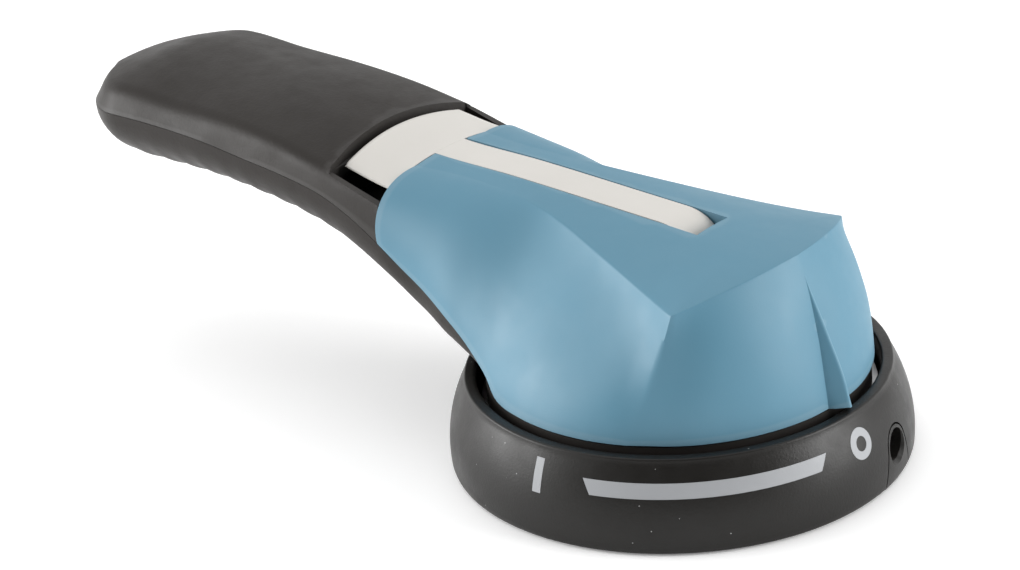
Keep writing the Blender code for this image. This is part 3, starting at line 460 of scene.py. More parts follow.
def finish(name, colour, roughness, metallic=0.0, grain=2600.0, grain_height=0.03, mottle=0.06,
           rough_spread=0.08, wear=0.12, specks=0.0, brushed=False, specular=0.5):
    """Moulded or plated surface: grain bump, cloudy tone, uneven gloss, paler worn edges, specks."""
    material = bpy.data.materials.new(name)
    material.use_nodes = True
    tree = material.node_tree
    shader = tree.nodes["Principled BSDF"]
    shader.inputs["Metallic"].default_value = metallic
    shader.inputs["Specular IOR Level"].default_value = specular
    place = node(tree, "ShaderNodeTexCoord", -1300, 0)
    stretch = node(tree, "ShaderNodeMapping", -1120, 0)
    stretch.inputs["Scale"].default_value = BRUSHING if brushed else (1.0, 1.0, 1.0)
    tree.links.new(place.outputs["Object"], stretch.inputs["Vector"])

    def noise(scale, detail, y):
        made_noise = node(tree, "ShaderNodeTexNoise", -900, y, Scale=scale, Detail=detail, Roughness=0.6)
        tree.links.new(stretch.outputs["Vector"], made_noise.inputs["Vector"])
        return made_noise

    def spread(source, low, high, y):
        ranged = node(tree, "ShaderNodeMapRange", -650, y)
        ranged.inputs["From Min"].default_value = NOISE_RANGE[0]
        ranged.inputs["From Max"].default_value = NOISE_RANGE[1]
        ranged.inputs["To Min"].default_value = low
        ranged.inputs["To Max"].default_value = high
        tree.links.new(source, ranged.inputs["Value"])
        return ranged.outputs["Result"]

    cloud = noise(CLOUD_SCALE, 4.0, 300)
    fine = noise(grain, 3.0, 0)
    tone = spread(cloud.outputs["Fac"], 1.0 - mottle, 1.0 + mottle, 300)
    last = mix_colour(tree, -420, 300, 1.0, (*colour, 1.0), tone, blend="MULTIPLY")

    shape = node(tree, "ShaderNodeNewGeometry", -900, 620)
    edge = node(tree, "ShaderNodeMapRange", -650, 620)
    edge.inputs["From Min"].default_value = EDGE_RANGE[0]
    edge.inputs["From Max"].default_value = EDGE_RANGE[1]
    edge.inputs["To Max"].default_value = wear
    tree.links.new(shape.outputs["Pointiness"], edge.inputs["Value"])
    paler = (*[min(1.0, c * 0.6 + 0.35) for c in colour], 1.0)
    last = mix_colour(tree, -200, 420, edge.outputs["Result"], last, paler)

    if specks:
        cells = node(tree, "ShaderNodeTexVoronoi", -900, 900, Scale=SPECK_SCALE)
        tree.links.new(stretch.outputs["Vector"], cells.inputs["Vector"])
        dot = node(tree, "ShaderNodeMath", -650, 900)
        dot.operation = "LESS_THAN"
        dot.inputs[1].default_value = SPECK_SIZE
        tree.links.new(cells.outputs["Distance"], dot.inputs[0])
        few = node(tree, "ShaderNodeMath", -650, 1060)
        few.operation = "GREATER_THAN"
        few.inputs[1].default_value = SPECK_TONE
        tree.links.new(cells.outputs["Color"], few.inputs[0])
        both = node(tree, "ShaderNodeMath", -420, 960)
        both.operation = "MULTIPLY"
        tree.links.new(dot.outputs["Value"], both.inputs[0])
        tree.links.new(few.outputs["Value"], both.inputs[1])
        speck = node(tree, "ShaderNodeMath", -300, 860)
        speck.operation = "MULTIPLY"
        speck.inputs[1].default_value = specks
        tree.links.new(both.outputs["Value"], speck.inputs[0])
        last = mix_colour(tree, 0, 520, speck.outputs["Value"], last, SPECK_COLOUR)

    tree.links.new(last, shader.inputs["Base Color"])
    patches = noise(GLOSS_SCALE, 3.0, -300)
    gloss = spread(patches.outputs["Fac"], roughness - rough_spread, roughness + rough_spread, -300)
    tree.links.new(gloss, shader.inputs["Roughness"])
    bump = node(tree, "ShaderNodeBump", -200, -120, Strength=0.5, Distance=grain_height * MM)
    tree.links.new(fine.outputs["Fac"], bump.inputs["Height"])
    tree.links.new(bump.outputs["Normal"], shader.inputs["Normal"])
    return material


def make_materials():
    return {
        name: finish(name, colour, roughness, **extra)
        for name, (colour, roughness, extra) in FINISHES.items()
    }


def place(piece, body, slot, *nodes):
    """Gives a finished piece its material and its body, and hides the CAD nodes that it stands for."""
    piece.data.materials.clear()
    piece.data.materials.append(MATERIALS[slot])
    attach(piece, body)
    if nodes:
        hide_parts(*nodes)


# Escutcheon.

def wall_radius(z):
    return RING_RADIUS - RING_WALL_ARC + math.sqrt(RING_WALL_ARC**2 - (z - RING_WIDEST_Z) ** 2)


def rounded(points, radius, steps=4):
    """An outline with each corner of an open run of points replaced by a short arc-like curve."""
    out = [points[0]]
    for before, corner, after in zip(points, points[1:], points[2:]):
        b, c, a = Vector(before), Vector(corner), Vector(after)
        reach = min(radius, (b - c).length * 0.45, (a - c).length * 0.45)
        start, end = c + (b - c).normalized() * reach, c + (a - c).normalized() * reach
        for i in range(steps + 1):
            t = i / steps
            out.append(tuple(start * (1 - t) ** 2 + c * (2 * t * (1 - t)) + end * t * t))
    return out + [points[-1]]


def port_arch(name, grow, near, far):
    """The port's arch as a cutter through the wall, from near to far along its radius."""
    foot, head = PORT_FOOT[0] + grow, PORT_HEAD_RADIUS + grow
    outline = [(-foot, PORT_FOOT[1] - grow), (foot, PORT_FOOT[1] - grow)]
    for i in range(21):
        angle = math.radians(10.0 + 160.0 * i / 20)
        outline.append((head * math.cos(angle), PORT_Z + head * math.sin(angle)))
    arch = prism(name, outline, -far, -near)
    arch.rotation_euler = (0, 0, math.radians(90 + PORT_ANGLE))
    return arch


def make_ring():
    wall = [(wall_radius(z), z) for z in np.linspace(RING_WALL_TOP_Z, RING_WALL_LOW_Z, 26)]
    rim = [(RING_BORE, 14.0), (RING_BORE, RING_HEIGHT), (wall[0][0] - 0.12, RING_HEIGHT), wall[0]]
    lip = rounded(rim, RING_LIP_RADIUS)
    foot = rounded([wall[-1], (39.05, 0.0), (32.8, 0.0)], RING_FOOT_RADIUS)
    ring = turned("ring", lip[:-1] + wall + foot[1:] + list(RING_UNDER), segments=240)
    for angle in PILLAR_ANGLES:
        x, y, _ = polar(PILLAR_CIRCLE, angle, 0)
        join(ring, rod("pillar", 3.2, (x, y, 2.5), (x, y, 8.6)))
        cut(ring, rod("pillar_hole", 1.0, (x, y, 3.6), (x, y, 12.0), segments=24))
    for x, y in INSERT_PLACES:
        cut(ring, rod("insert_hole", 3.3, (x, y, -1.0), (x, y, 8.0)))
    cut(ring, port_arch("port_opening", GAP, RING_BORE - 1.0, RING_RADIUS + 3.0))
    place(solid("escutcheon", ring, soften=0.12, limit=50.0), "base", "ring_plastic", "base_ring")


def make_port():
    wall = [(wall_radius(z), z) for z in np.linspace(PORT_TOP_Z, 0.6, 20)]
    profile = [(RING_BORE + 0.1, PORT_TOP_Z)] + wall + [(39.0, 0.0), (RING_BORE + 0.1, 0.0)]
    insert = turned("insert", profile, segments=240)
    combine(insert, port_arch("port_shape", 0.0, RING_BORE - 2.0, RING_RADIUS + 2.0), "INTERSECT")
    inside, outside = polar(30, PORT_ANGLE, PORT_Z), polar(42, PORT_ANGLE, PORT_Z)
    cut(insert, rod("port_hole", PORT_RADIUS, inside, outside))
    mouth = wall_radius(PORT_Z)
    cut(insert, rod("port_mouth", PORT_RADIUS, polar(mouth - PORT_MOUTH_DEPTH, PORT_ANGLE, PORT_Z),
                    polar(mouth + 1.0, PORT_ANGLE, PORT_Z), end_radius=PORT_RADIUS + PORT_MOUTH_FLARE))
    place(solid("release_port", insert, soften=0.15, limit=45.0), "base", "ring_plastic", "port_insert")


def on_wall(azimuth, z, lift):
    return polar(wall_radius(z) + lift, azimuth, z)


def mark(name, grid, closed_rows=False):
    """A printed patch: a grid of (azimuth, height) laid on the wall, closed underneath."""
    bm = bmesh.new()
    front = [[bm.verts.new(on_wall(a, z, MARK_LIFT)) for a, z in row] for row in grid]
    back = [[bm.verts.new(on_wall(a, z, -MARK_DEPTH)) for a, z in row] for row in grid]
    rows, columns = len(grid), len(grid[0])
    for i in range(rows if closed_rows else rows - 1):
        k = (i + 1) % rows
        for j in range(columns - 1):
            bm.faces.new((front[i][j], front[i][j + 1], front[k][j + 1], front[k][j]))
            bm.faces.new((back[k][j], back[k][j + 1], back[i][j + 1], back[i][j]))
        bm.faces.new((front[i][0], front[k][0], back[k][0], back[i][0]))
        bm.faces.new((front[k][-1], front[i][-1], back[i][-1], back[k][-1]))
    if not closed_rows:
        for j in range(columns - 1):
            bm.faces.new((front[0][j + 1], front[0][j], back[0][j], back[0][j + 1]))
            bm.faces.new((front[-1][j], front[-1][j + 1], back[-1][j + 1], back[-1][j]))
    piece = made(name, bm, helper=False)
    piece.data.shade_smooth()
    piece.data.set_sharp_from_angle(angle=math.radians(40.0))
    piece.data.materials.append(MATERIALS["mark_print"])
    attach(piece, "base")


def make_marks():
    azimuth, width, low, high = MARK_ON
    half = math.degrees(width / 2 / wall_radius((low + high) / 2))
    bar = [[(azimuth + side * half, z) for side in (-1, 0, 1)] for z in np.linspace(low, high, 12)]
    mark("mark_on", bar)
    azimuth, middle, inner, outer = MARK_OFF
    per_mm = math.degrees(1.0 / wall_radius(middle))
    ring = []
    for angle in np.linspace(0.0, math.tau, 64, endpoint=False):
        ring.append([(azimuth + r * math.cos(angle) * per_mm, middle + r * math.sin(angle))
                     for r in np.linspace(inner, outer, 4)])
    mark("mark_off", ring, closed_rows=True)
    (top_from, top_to, top_z), (low_from, low_to, low_z) = MARK_BAND
    band = []
    for t in np.linspace(0.0, 1.0, 72):
        a_top, a_low = top_from + (top_to - top_from) * t, low_from + (low_to - low_from) * t
        across = (0.0, 0.34, 0.67, 1.0)
        band.append([(a_top + (a_low - a_top) * u, top_z + (low_z - top_z) * u) for u in across])
    mark("mark_band", band)


# Grip and handle body.

def tip_factor(x, length=TIP_SEAM_LENGTH):
    if x >= TIP_CENTRE_X:
        return 1.0
    along = (TIP_CENTRE_X - x) / length
    return math.sqrt(max(0.0, 1 - along * along))


def tip_stations():
    """Places along the grip's rounded tip, closer together towards its end."""
    angles = [math.radians(a) for a in np.linspace(89.0, 0.0, 44)]
    return [TIP_CENTRE_X - TIP_SEAM_LENGTH * math.sin(a) for a in angles]


def mirrored(x, half):
    return [(x, y, z) for y, z in half] + [(x, -y, z) for y, z in reversed(half[1:])]


def upper_section(x, inset=0.0, floor=0.0):
    """Half outline of the grip's upper half: along the crown, round the crease, down to the seam."""
    seam = at(SEAM_HALF, x) * tip_factor(x)
    crease = max(at(CREASE_HALF, x) * tip_factor(x, TIP_LENGTH), TIP_BLUNTNESS * seam) - inset
    seam -= inset
    seam_z = at(SEAM_Z, x) + SEAM_GAP / 2 - floor
    top = at(SPINE_Z, x) - inset
    if x < TIP_CENTRE_X - TIP_LENGTH:
        past = (TIP_CENTRE_X - TIP_LENGTH - x) / (TIP_SEAM_LENGTH - TIP_LENGTH)
        top += (seam_z + 1.2 - top) * past
    crown_end = crease * CREASE_START
    points = [(y, top - y * y / GRIP_CROWN) for y in np.linspace(0.0, crown_end, 14)]
    start = Vector((crown_end, top - crown_end**2 / GRIP_CROWN))
    corner = Vector((crease, top - crease * (2 * crown_end - crown_end**2 / crease) / GRIP_CROWN))
    foot = Vector((seam, seam_z))
    end = corner.lerp(foot, min(0.6, CREASE_REACH / max((foot - corner).length, 0.01)))
    for t in np.linspace(0.0, 1.0, 11)[1:]:
        points.append(tuple(start * (1 - t) ** 2 + corner * (2 * t * (1 - t)) + end * t * t))
    points += [tuple(end.lerp(foot, t)) for t in (0.3, 0.6, 0.85, 1.0)]
    return points


def lower_section(x, inset=0.0, wave=0.0, count=22):
    """Half outline of the underside: from the belly round to the seam, a squarish ellipse."""
    round_end = tip_factor(x)
    half = at(SEAM_HALF, x) * round_end - inset
    seam_z = at(SEAM_Z, x) - SEAM_GAP / 2
    depth = max(seam_z - at(BELLY_Z, x) - inset, 1.0) * (TIP_DEPTH + (1 - TIP_DEPTH) * round_end)
    squareness = GRIP_SQUARENESS + ARM_SQUARENESS_GAIN * min(1.0, max(0.0, (x + 45.0) / 12.0))
    points = []
    for angle in np.linspace(0.0, math.pi / 2, count):
        y = half * math.sin(angle) ** (2 / squareness)
        z = seam_z - depth * max(0.0, math.cos(angle)) ** (2 / squareness)
        points.append((y, z + wave * math.cos(angle)))
    return points


def scallop(x):
    """Shallow finger waves along the underside of the grip, fading out at both ends."""
    fade = min(1.0, max(0.0, (x + 122.0) / 8.0)) * min(1.0, max(0.0, (-56.0 - x) / 10.0))
    return SCALLOP_DEPTH * fade * math.cos(math.tau * x / SCALLOP_PITCH)


def saddle_cutter():
    """Everything above the side walls' sloping top, between the grip's arched rim and the cover."""
    rim = []
    for y in np.linspace(-24.0, 24.0, 33):
        rim.append((RIM_X - 2.4 * (1 - (y / 18.7) ** 2), y))
    front = -10.0
    bm = bmesh.new()
    face = bm.faces.new([bm.verts.new((x, y, 30.0)) for x, y in rim + [(front, 24.0), (front, -24.0)]])
    grown = bmesh.ops.extrude_face_region(bm, geom=[face])["geom"]
    moved = [item for item in grown if isinstance(item, bmesh.types.BMVert)]
    bmesh.ops.translate(bm, vec=(0, 0, 30.0), verts=moved)
    block = made("saddle", bm)
    slope = [(-75.0, 20.0), (front, 20.0), (front, 29.0), (-30.0, 34.6)]
    slope += [(x, at(WALL_TOP_Z, x)) for x in np.linspace(-47.0, -61.5, 12)] + [(-75.0, 46.5)]
    return cut(block, prism("saddle_floor", slope, -30.0, 30.0))


def make_grip():
    """The grip's upper half and the side walls of the window, hollow, with a bulkhead between."""
    stations = tip_stations() + list(np.linspace(-111.0, -48.3, 46))
    grip = loft("grip", [mirrored(x, upper_section(x)) for x in stations])
    hollow = [mirrored(x, upper_section(x, SHELL_WALL, 6.0)) for x in GRIP_HOLLOW_X]
    cut(grip, loft("grip_cavity", hollow))
    hollow = [mirrored(x, upper_section(x, SHELL_WALL + 1.0, 8.0)) for x in WALL_HOLLOW_X]
    cut(grip, loft("wall_cavity", hollow))
    return join(grip, box("grip_bulkhead", (-66.0, -15.8, 36.0), (-63.6, 15.8, 44.5)))


def make_channel():
    """The trough that joins the drum to the grip inside the lower shell, with the lever's pocket."""
    channel = prism("channel", CHANNEL_SIDE, -CHANNEL_HALF, CHANNEL_HALF)
    room = []
    for x in CHANNEL_X:
        half = lower_section(x, SHELL_WALL + GAP)
        room.append(mirrored(x, half + [(half[-1][0], half[-1][1] + 30.0)]))
    combine(channel, loft("channel_room", room), "INTERSECT")
    join(channel, box("channel_neck", (-27.2, -CHANNEL_HALF, 15.0), (-18.0, CHANNEL_HALF, 23.0)))
    return cut(channel, prism("pocket", POCKET_SIDE, -POCKET_HALF, POCKET_HALF))


def make_handle():
    body = turned("body", DRUM_SECTION, segments=160)
    grip = make_grip()
    join(body, make_channel(), grip)
    cut(body, saddle_cutter())
    head_low = (-60.4, -HEAD_ROOM_HALF, HEAD_ROOM_Z)
    cut(body, box("head_room", head_low, (-40.0, HEAD_ROOM_HALF, 60.0)))
    px, pz = PIVOT
    for side in (-1, 1):
        low, high = sorted((side * 4.6, side * 7.6))
        ear = EAR_ARCH + ((px - 3.2, pz + 2.2), (px + 3.2, pz + 2.2))
        join(body, prism("ear", ear, low, high))
    join(body, rod("bolt_boss", 5.6, (BOLT_X, 0, 13.9), (BOLT_X, 0, 21.0)))
    cut(body, rod("boss_hole", 4.6, (BOLT_X, 0, 5.0), (BOLT_X, 0, 30.0)))
    cut(body, rod("pin_hole", 1.8, (px, -9, pz), (px, 9, pz)))
    for x, y in COVER_SCREWS:
        if x > 0:
            cut(body, rod("deck_hole", 1.9, (x, y, 10), (x, y, 20), segments=24))
            continue
        join(body, rod("screw_seat", 3.8, (x, y, 23.4), (x, y, 30.4), segments=32))
        cut(body, rod("boss_room", 4.0, (x, y, 30.0), (x, y, 40.0), segments=32))
        cut(body, rod("channel_hole", 1.6, (x, y, 18), (x, y, 34.0), segments=24))
    for x in GRIP_SCREWS_X:
        low, top = at(BELLY_Z, x) + SHELL_WALL + 0.8, at(SPINE_Z, x) - 1.0
        join(body, rod("grip_boss", 3.6, (x, 0, low), (x, 0, top), segments=32))
        cut(body, rod("grip_boss_hole", 1.2, (x, 0, 20), (x, 0, top - 3.0), segments=24))
    place(solid("grip_and_hub", body, soften=0.35, limit=48.0), "handle", "grip_plastic", "handle_body")


def make_lower_shell():
    stations = tip_stations() + list(np.linspace(-112.2, -18.0, 150))
    shell = loft("shell", [mirrored(x, lower_section(x, wave=scallop(x))) for x in stations])
    inner = []
    for x in SHELL_HOLLOW_X:
        half = lower_section(x, SHELL_WALL, count=12)
        inner.append(mirrored(x, half + [(half[-1][0], half[-1][1] + 5.0)]))
    cut(shell, loft("shell_cavity", inner))
    cut(shell, rod("drum_room", DRUM_RADIUS + 0.5, (0, 0, 5), (0, 0, 40), segments=160))
    for x in GRIP_SCREWS_X:
        belly = at(BELLY_Z, x)
        cut(shell, rod("screw_hole", 1.8, (x, 0, belly - 4), (x, 0, belly + 6)))
        cut(shell, rod("screw_sink", 3.3, (x, 0, belly - 3), (x, 0, belly + 1.8)))
    piece = solid("grip_underside", shell, soften=0.3, limit=48.0)
    place(piece, "handle", "grip_plastic", "grip_lower_shell")


# Cover.

def spine_height(x, y):
    return at(SPINE_Z, x) - y * y / at(COVER_CROWN, x)


def outward_at(foot):
    """Plan direction out of the cover at a point of its lower edge: radial on the round part."""
    on_circle = foot[2] <= COVER_EDGE_Z
    return Vector((foot[0] if on_circle else 0.0, foot[1], 0.0)).normalized()


def cover_column(ridge, foot, inset, handles=None, bulge=None):
    """One column of the skin, spine first, with closer points near the ridge."""
    rx, ry = ridge
    column = []
    for i in range(TOP_STEPS):
        y = ry * (1 - (1 - i / TOP_STEPS) ** 1.4)
        column.append(Vector((rx, y, spine_height(rx, y) - inset)))
    top = Vector((rx, ry, spine_height(rx, ry) - inset))
    for i in range(SIDE_STEPS + 1):
        t = (i / SIDE_STEPS) ** 1.3
        s = 1 - t
        if bulge:
            column.append(top.lerp(foot, t) + bulge * (4 * t * s))
            continue
        along = (foot.x - rx) / 3
        start, end = top + Vector((along, *handles[0])), foot + Vector((-along, *handles[1]))
        column.append(top * s**3 + start * (3 * s * s * t) + end * (3 * s * t * t) + foot * t**3)
    return column


def catmull(rows, steps):
    """Rows of points with smooth rows between them, as one array."""
    rows = np.array(rows)
    out = []
    for i in range(len(rows) - 1):
        before = rows[i - 1] if i else 2 * rows[0] - rows[1]
        after = rows[i + 2] if i + 2 < len(rows) else 2 * rows[-1] - rows[-2]
        for t in np.linspace(0.0, 1.0, steps, endpoint=False):
            out.append(0.5 * (
                2 * rows[i] + (rows[i + 1] - before) * t
                + (2 * before - 5 * rows[i] + 4 * rows[i + 1] - after) * t**2
                + (3 * rows[i] - before - 3 * rows[i + 1] + after) * t**3
            ))
    return out + [rows[-1]]


def cover_grid(inset):
    side = []
    for ridge, start, end, edge in COVER_COLUMNS:
        foot = Vector(edge) - outward_at(edge) * inset
        side.append(cover_column((ridge[0], ridge[1] - 0.75 * inset), foot, inset, handles=(start, end)))
    front = [side[-1]]
    for (x, y), azimuth, bow in zip(FRONT_RIDGE, FRONT_AZIMUTHS, FRONT_BULGE):
        out = Vector(polar(1.0, azimuth, 0.0))
        foot = Vector(polar(COVER_RADIUS - inset, azimuth, COVER_EDGE_Z))
        ridge = (x - 0.95 * inset * out.x, y - 0.95 * inset * out.y)
        bulge = (out + Vector((0, 0, FRONT_BULGE_RISE))) * bow
        front.append(cover_column(ridge, foot, inset, bulge=bulge))
    grid = catmull(side, ROWS_PER_COLUMN) + catmull(front, ROWS_PER_FRONT)[1:]
    return np.array(grid)


def relaxed(grid):
    """Rounds the ridges: each inner point moves towards the mean of its neighbours."""
    wide = np.concatenate([grid[:, 1:2] * (1, -1, 1), grid], axis=1)
    mean = (wide[:-2, 1:-1] + wide[2:, 1:-1] + wide[1:-1, :-2] + wide[1:-1, 2:]) / 4
    grid = grid.copy()
    grid[1:-1, :-1] += 0.6 * (mean - grid[1:-1, :-1])
    return grid


def faired(grid):
    """Evens out the skin lengthwise. The corner's crease and the lower edge stay put."""
    corner = ROWS_PER_COLUMN * (len(COVER_COLUMNS) - 1)
    even = grid.copy()
    for _ in range(FAIRING_ROUNDS):
        for first, last in ((0, corner), (corner, len(grid) - 1)):
            run = even[first:last + 1]
            run[1:-1] += 0.5 * ((run[:-2] + run[2:]) / 2 - run[1:-1])
    to_edge = np.linspace(1.0, 0.0, grid.shape[1])[:, None]
    return grid + (even - grid) * np.clip(to_edge / FAIRING_FADE, 0.0, 1.0)


def creased(grid):
    """Carries the corner's crease down towards the lower edge as a low ridge."""
    corner = ROWS_PER_COLUMN * (len(COVER_COLUMNS) - 1)
    out = np.array(polar(1.0, CREASE_AZIMUTH, 0.0))
    rise = CREASE_RISE * np.sin(math.pi * np.linspace(0.0, 1.0, SIDE_STEPS + 1))
    grid = grid.copy()
    for k in range(1 - CREASE_ROWS, CREASE_ROWS):
        grid[corner + k, TOP_STEPS:] += np.outer(rise * (1 - abs(k) / CREASE_ROWS), out)
    return grid


def make_fin():
    """The pointer: a wedge whose apex line leaves the nose as it runs down."""
    sections = []
    for z in np.linspace(FIN_TOP_Z, COVER_EDGE_Z, 40):
        apex = at(FIN_APEX, z)
        half = FIN_HALF * ((FIN_POINT_Z - z) / (FIN_POINT_Z - COVER_EDGE_Z)) ** 0.85
        back = apex - 1.6 - half * 1.3
        nose = min(0.35, half * 0.3)
        side = [(apex, 0.0), (apex - 0.25 * nose, nose * 0.7), (apex - nose, nose * 1.25),
                (apex - half * 0.62 - 0.1, half * 0.66 + 0.02), (apex - half * 1.1 - 0.3, half),
                (back, half)]
        sections.append([(x, y, z) for x, y in side] + [(x, -y, z) for x, y in reversed(side[1:])])
    return loft("fin", sections)


def make_cover():
    outer = relaxed(creased(faired(cover_grid(0.0))))
    inner = cover_grid(COVER_WALL)
    sections = []
    flip = np.array((1, -1, 1))
    for out_row, in_row in zip(outer, inner):
        around = [out_row[::-1], out_row[1:] * flip, in_row[::-1] * flip, in_row[1:]]
        sections.append(np.concatenate(around))
    # The last section lies in the middle plane, where its two sides meet, so it needs no cap.
    cover = loft("cover", sections, cap_last=False)
    join(cover, make_fin())
    cut(cover, box("slot", (-60.0, -SLOT_HALF, 37.0), (SLOT_END_X, SLOT_HALF, 60.0)))
    for x, y in COVER_SCREWS:
        if x > 0:
            join(cover, rod("boss", 3.2, (x, y, 17.3), (x, y, spine_height(x, 17.0) - 1.0), segments=32))
            cut(cover, rod("boss_hole", 1.2, (x, y, 10), (x, y, 28), segments=24))
        else:
            join(cover, rod("boss", 3.4, (x, y, 30.3), (x, y, spine_height(x, y) - 1.2), segments=32))
            cut(cover, rod("boss_hole", 1.2, (x, y, 10), (x, y, 38), segments=24))
    piece = solid("pointer_cover", cover, soften=0.12, sharp_angle=40.0, limit=60.0)
    place(piece, "handle", "cover_plastic", "top_cover")


# Locking lever.

def crown_drop(x, y):
    """How far the lever's crowned top has fallen at y from its middle line."""
    return y * y / (115.0 + (x + 48.0) * 1.5)


def make_head():
    """The lever's head: a crowned plate with thin side edges and a bowed rear edge."""
    sections = []
    for x in np.linspace(*HEAD_X, 26):
        near_end = max(0.0, (-58.6 - x) / 1.6)
        half = HEAD_HALF + (x + 60.0) * 0.055
        soft = 0.5 * near_end**2
        row = []
        for y in np.linspace(-half, half, 41):
            bow = 0.9 * near_end * (1 - (y / half) ** 2)
            edge = 0.35 * max(0.0, (abs(y) / half - 0.965) / 0.035) ** 2
            z = at(SPINE_Z, x) - HEAD_SINK - crown_drop(x, y)
            row.append((x - bow + 0.7 * near_end, y, z - soft - edge))
        under = []
        for px, py, _ in reversed(row):
            thin = min(1.0, max(0.0, (abs(py) - half + 4.0) / 3.2))
            thick = HEAD_THICK - HEAD_THIN_BY * thin * thin * (3 - 2 * thin)
            under.append((px, py, at(SPINE_Z, x) - HEAD_SINK - thick - crown_drop(x, py)))
        sections.append(row + under)
    return loft("lever", sections)


def make_bar_crown():
    """The bar's crowned top, which rolls over at its front end."""
    sections = []
    for x in np.linspace(*BAR_X, 66):
        top = at(SPINE_Z, x) - 0.055 * max(0.0, x - 1.0) ** 2 - 0.35 * max(0.0, x - 5.0) ** 2
        row = []
        for y in np.linspace(-BAR_HALF, BAR_HALF, 9):
            row.append((x, y, top - BAR_SINK - crown_drop(x, y)))
        sections.append(row + [(p[0], p[1], top - 2.0) for p in reversed(row)])
    return loft("bar_crown", sections)


def make_lever():
    """A T: a crowned head in the window, a bar in the cover's slot, and a tail that drives the bolt."""
    lever = make_head()
    crown = make_bar_crown()
    px, pz = PIVOT
    top = [(x, at(SPINE_Z, x) - 1.2) for x in np.linspace(-49.5, 0.5, 24)]
    bar = prism("bar", top + list(BAR_NOSE + BAR_UNDER), -BAR_HALF, BAR_HALF)
    for side in (-1, 1):
        low, high = sorted((side * 1.9, side * 6.0))
        cut(bar, box("tail_side", (13.5, low, 30.0), (26.0, high, 45.0)))
    join(lever, bar, crown)
    cut(lever, rod("lever_bore", 1.6, (px, -9, pz), (px, 9, pz)))
    place(solid("lock_lever_fine", lever, soften=0.3, limit=50.0), "lever", "lever_plastic", "lock_lever")


def make_spring():
    """The bolt's coil spring, with closed end turns."""
    rise = SPRING_WIRE * 1.08
    open_height = SPRING_HIGH - SPRING_LOW - SPRING_WIRE - 2 * rise
    sections = []
    for turn in np.linspace(0.0, SPRING_TURNS + 2.0, 28 * (SPRING_TURNS + 2) + 1):
        if turn < 1:
            z = SPRING_LOW + SPRING_WIRE / 2 + rise * turn
        elif turn > SPRING_TURNS + 1:
            z = SPRING_HIGH - SPRING_WIRE / 2 - rise * (SPRING_TURNS + 2 - turn)
        else:
            z = SPRING_LOW + SPRING_WIRE / 2 + rise + open_height * (turn - 1) / SPRING_TURNS
        ring = []
        for angle in np.linspace(0.0, math.tau, 12, endpoint=False):
            radius = SPRING_RADIUS + SPRING_WIRE / 2 * math.cos(angle)
            x, y, lift = polar(radius, 360.0 * turn, SPRING_WIRE / 2 * math.sin(angle))
            ring.append((BOLT_X + x, y, z + lift))
        sections.append(ring)
    piece = solid("bolt_spring_fine", loft("spring", sections))
    place(piece, "handle", "steel", "bolt_spring")
    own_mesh(piece)


# CAD pieces that stay, the stage, the light and the camera.

def dress_cad_nodes():
    for entry in frame["record"]["subparts"]:
        obj = frame["nodes"][entry["node"]]
        if obj.hide_render:
            continue
        obj.data.materials.clear()
        obj.data.materials.append(MATERIALS[entry["material_slot"]])
        bevel = obj.modifiers.new("soft_edges", "BEVEL")
        bevel.width = 0.08 * MM
        bevel.segments = 2
        bevel.limit_method = "ANGLE"
        bevel.angle_limit = math.radians(50.0)


def make_stage():
    bm = bmesh.new()
    bmesh.ops.create_grid(bm, x_segments=2, y_segments=2, size=4000.0)
    bmesh.ops.translate(bm, vec=(0, 0, -0.3), verts=bm.verts)
    floor = made("studio_floor", bm, helper=False)
    paper = finish("studio_paper", (0.97, 0.97, 0.97), 0.8, grain=700.0, grain_height=0.02,
                   mottle=0.01, wear=0.0)
    glow = paper.node_tree.nodes["Principled BSDF"]
    glow.inputs["Emission Color"].default_value = (1.0, 1.0, 1.0, 1.0)
    glow.inputs["Emission Strength"].default_value = PAPER_GLOW
    floor.data.materials.append(paper)


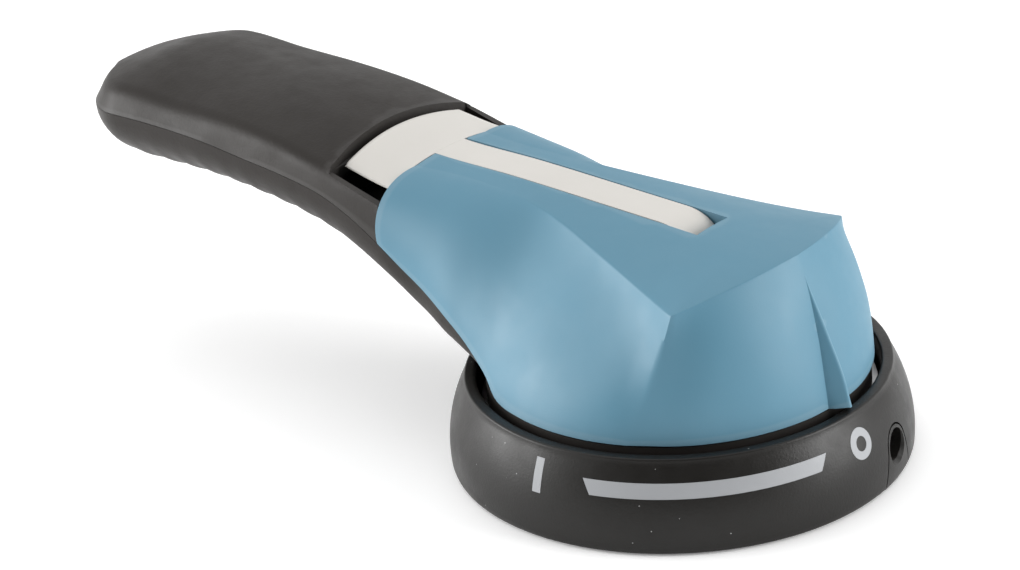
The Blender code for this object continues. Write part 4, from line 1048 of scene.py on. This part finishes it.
def make_lights():
    for name, place_at, target, size, watts in LIGHTS:
        lamp = bpy.data.lights.new(name, "AREA")
        lamp.shape = "RECTANGLE"
        lamp.size, lamp.size_y = size
        lamp.energy = watts
        obj = bpy.data.objects.new(name, lamp)
        bpy.context.scene.collection.objects.link(obj)
        obj.location = place_at
        obj.rotation_euler = (Vector(target) - Vector(place_at)).to_track_quat("-Z", "Y").to_euler()
    world = bpy.data.worlds.new("studio")
    world.use_nodes = True
    tree = world.node_tree
    background = tree.nodes["Background"]
    background.inputs["Color"].default_value = (1.0, 1.0, 1.0, 1.0)
    where = tree.nodes.new("ShaderNodeTexCoord")
    facing = tree.nodes.new("ShaderNodeVectorMath")
    facing.operation = "DOT_PRODUCT"
    facing.inputs[1].default_value = Vector(DARK_SIDE).normalized()
    room = tree.nodes.new("ShaderNodeMapRange")
    room.interpolation_type = "SMOOTHSTEP"
    room.inputs["From Min"].default_value = DARK_RANGE[0]
    room.inputs["From Max"].default_value = DARK_RANGE[1]
    room.inputs["To Min"].default_value = WORLD_BRIGHT
    room.inputs["To Max"].default_value = WORLD_DARK
    seen = tree.nodes.new("ShaderNodeLightPath")
    pick = tree.nodes.new("ShaderNodeMix")
    pick.inputs[3].default_value = 1.0
    tree.links.new(where.outputs["Generated"], facing.inputs[0])
    tree.links.new(facing.outputs["Value"], room.inputs["Value"])
    tree.links.new(seen.outputs["Is Camera Ray"], pick.inputs[0])
    tree.links.new(room.outputs["Result"], pick.inputs[2])
    tree.links.new(pick.outputs[0], background.inputs["Strength"])
    bpy.context.scene.world = world
    bpy.context.scene.view_settings.view_transform = "Standard"


def make_camera():
    a, e, roll = [math.radians(v) for v in (CAMERA_AZIMUTH, CAMERA_ELEVATION, CAMERA_ROLL)]
    right = Vector((math.cos(a), math.sin(a), 0.0))
    forward = Vector((-math.sin(a) * math.cos(e), math.cos(a) * math.cos(e), -math.sin(e)))
    up = right.cross(forward)
    side = right * math.cos(roll) + up * math.sin(roll)
    above = up * math.cos(roll) - right * math.sin(roll)
    data = bpy.data.cameras.new("camera")
    data.sensor_width = 36.0
    data.lens = CAMERA_LENS
    data.clip_start = 0.01
    camera = bpy.data.objects.new("camera", data)
    bpy.context.scene.collection.objects.link(camera)
    turn = Matrix((side, above, -forward)).transposed().to_4x4()
    camera.matrix_world = Matrix.Translation(CAMERA_PLACE) @ turn
    bpy.context.scene.camera = camera


MATERIALS = make_materials()
make_ring()
make_port()
make_marks()
make_handle()
make_lower_shell()
make_cover()
make_lever()
make_spring()
drop_helpers()
dress_cad_nodes()
make_stage()
make_lights()
make_camera()
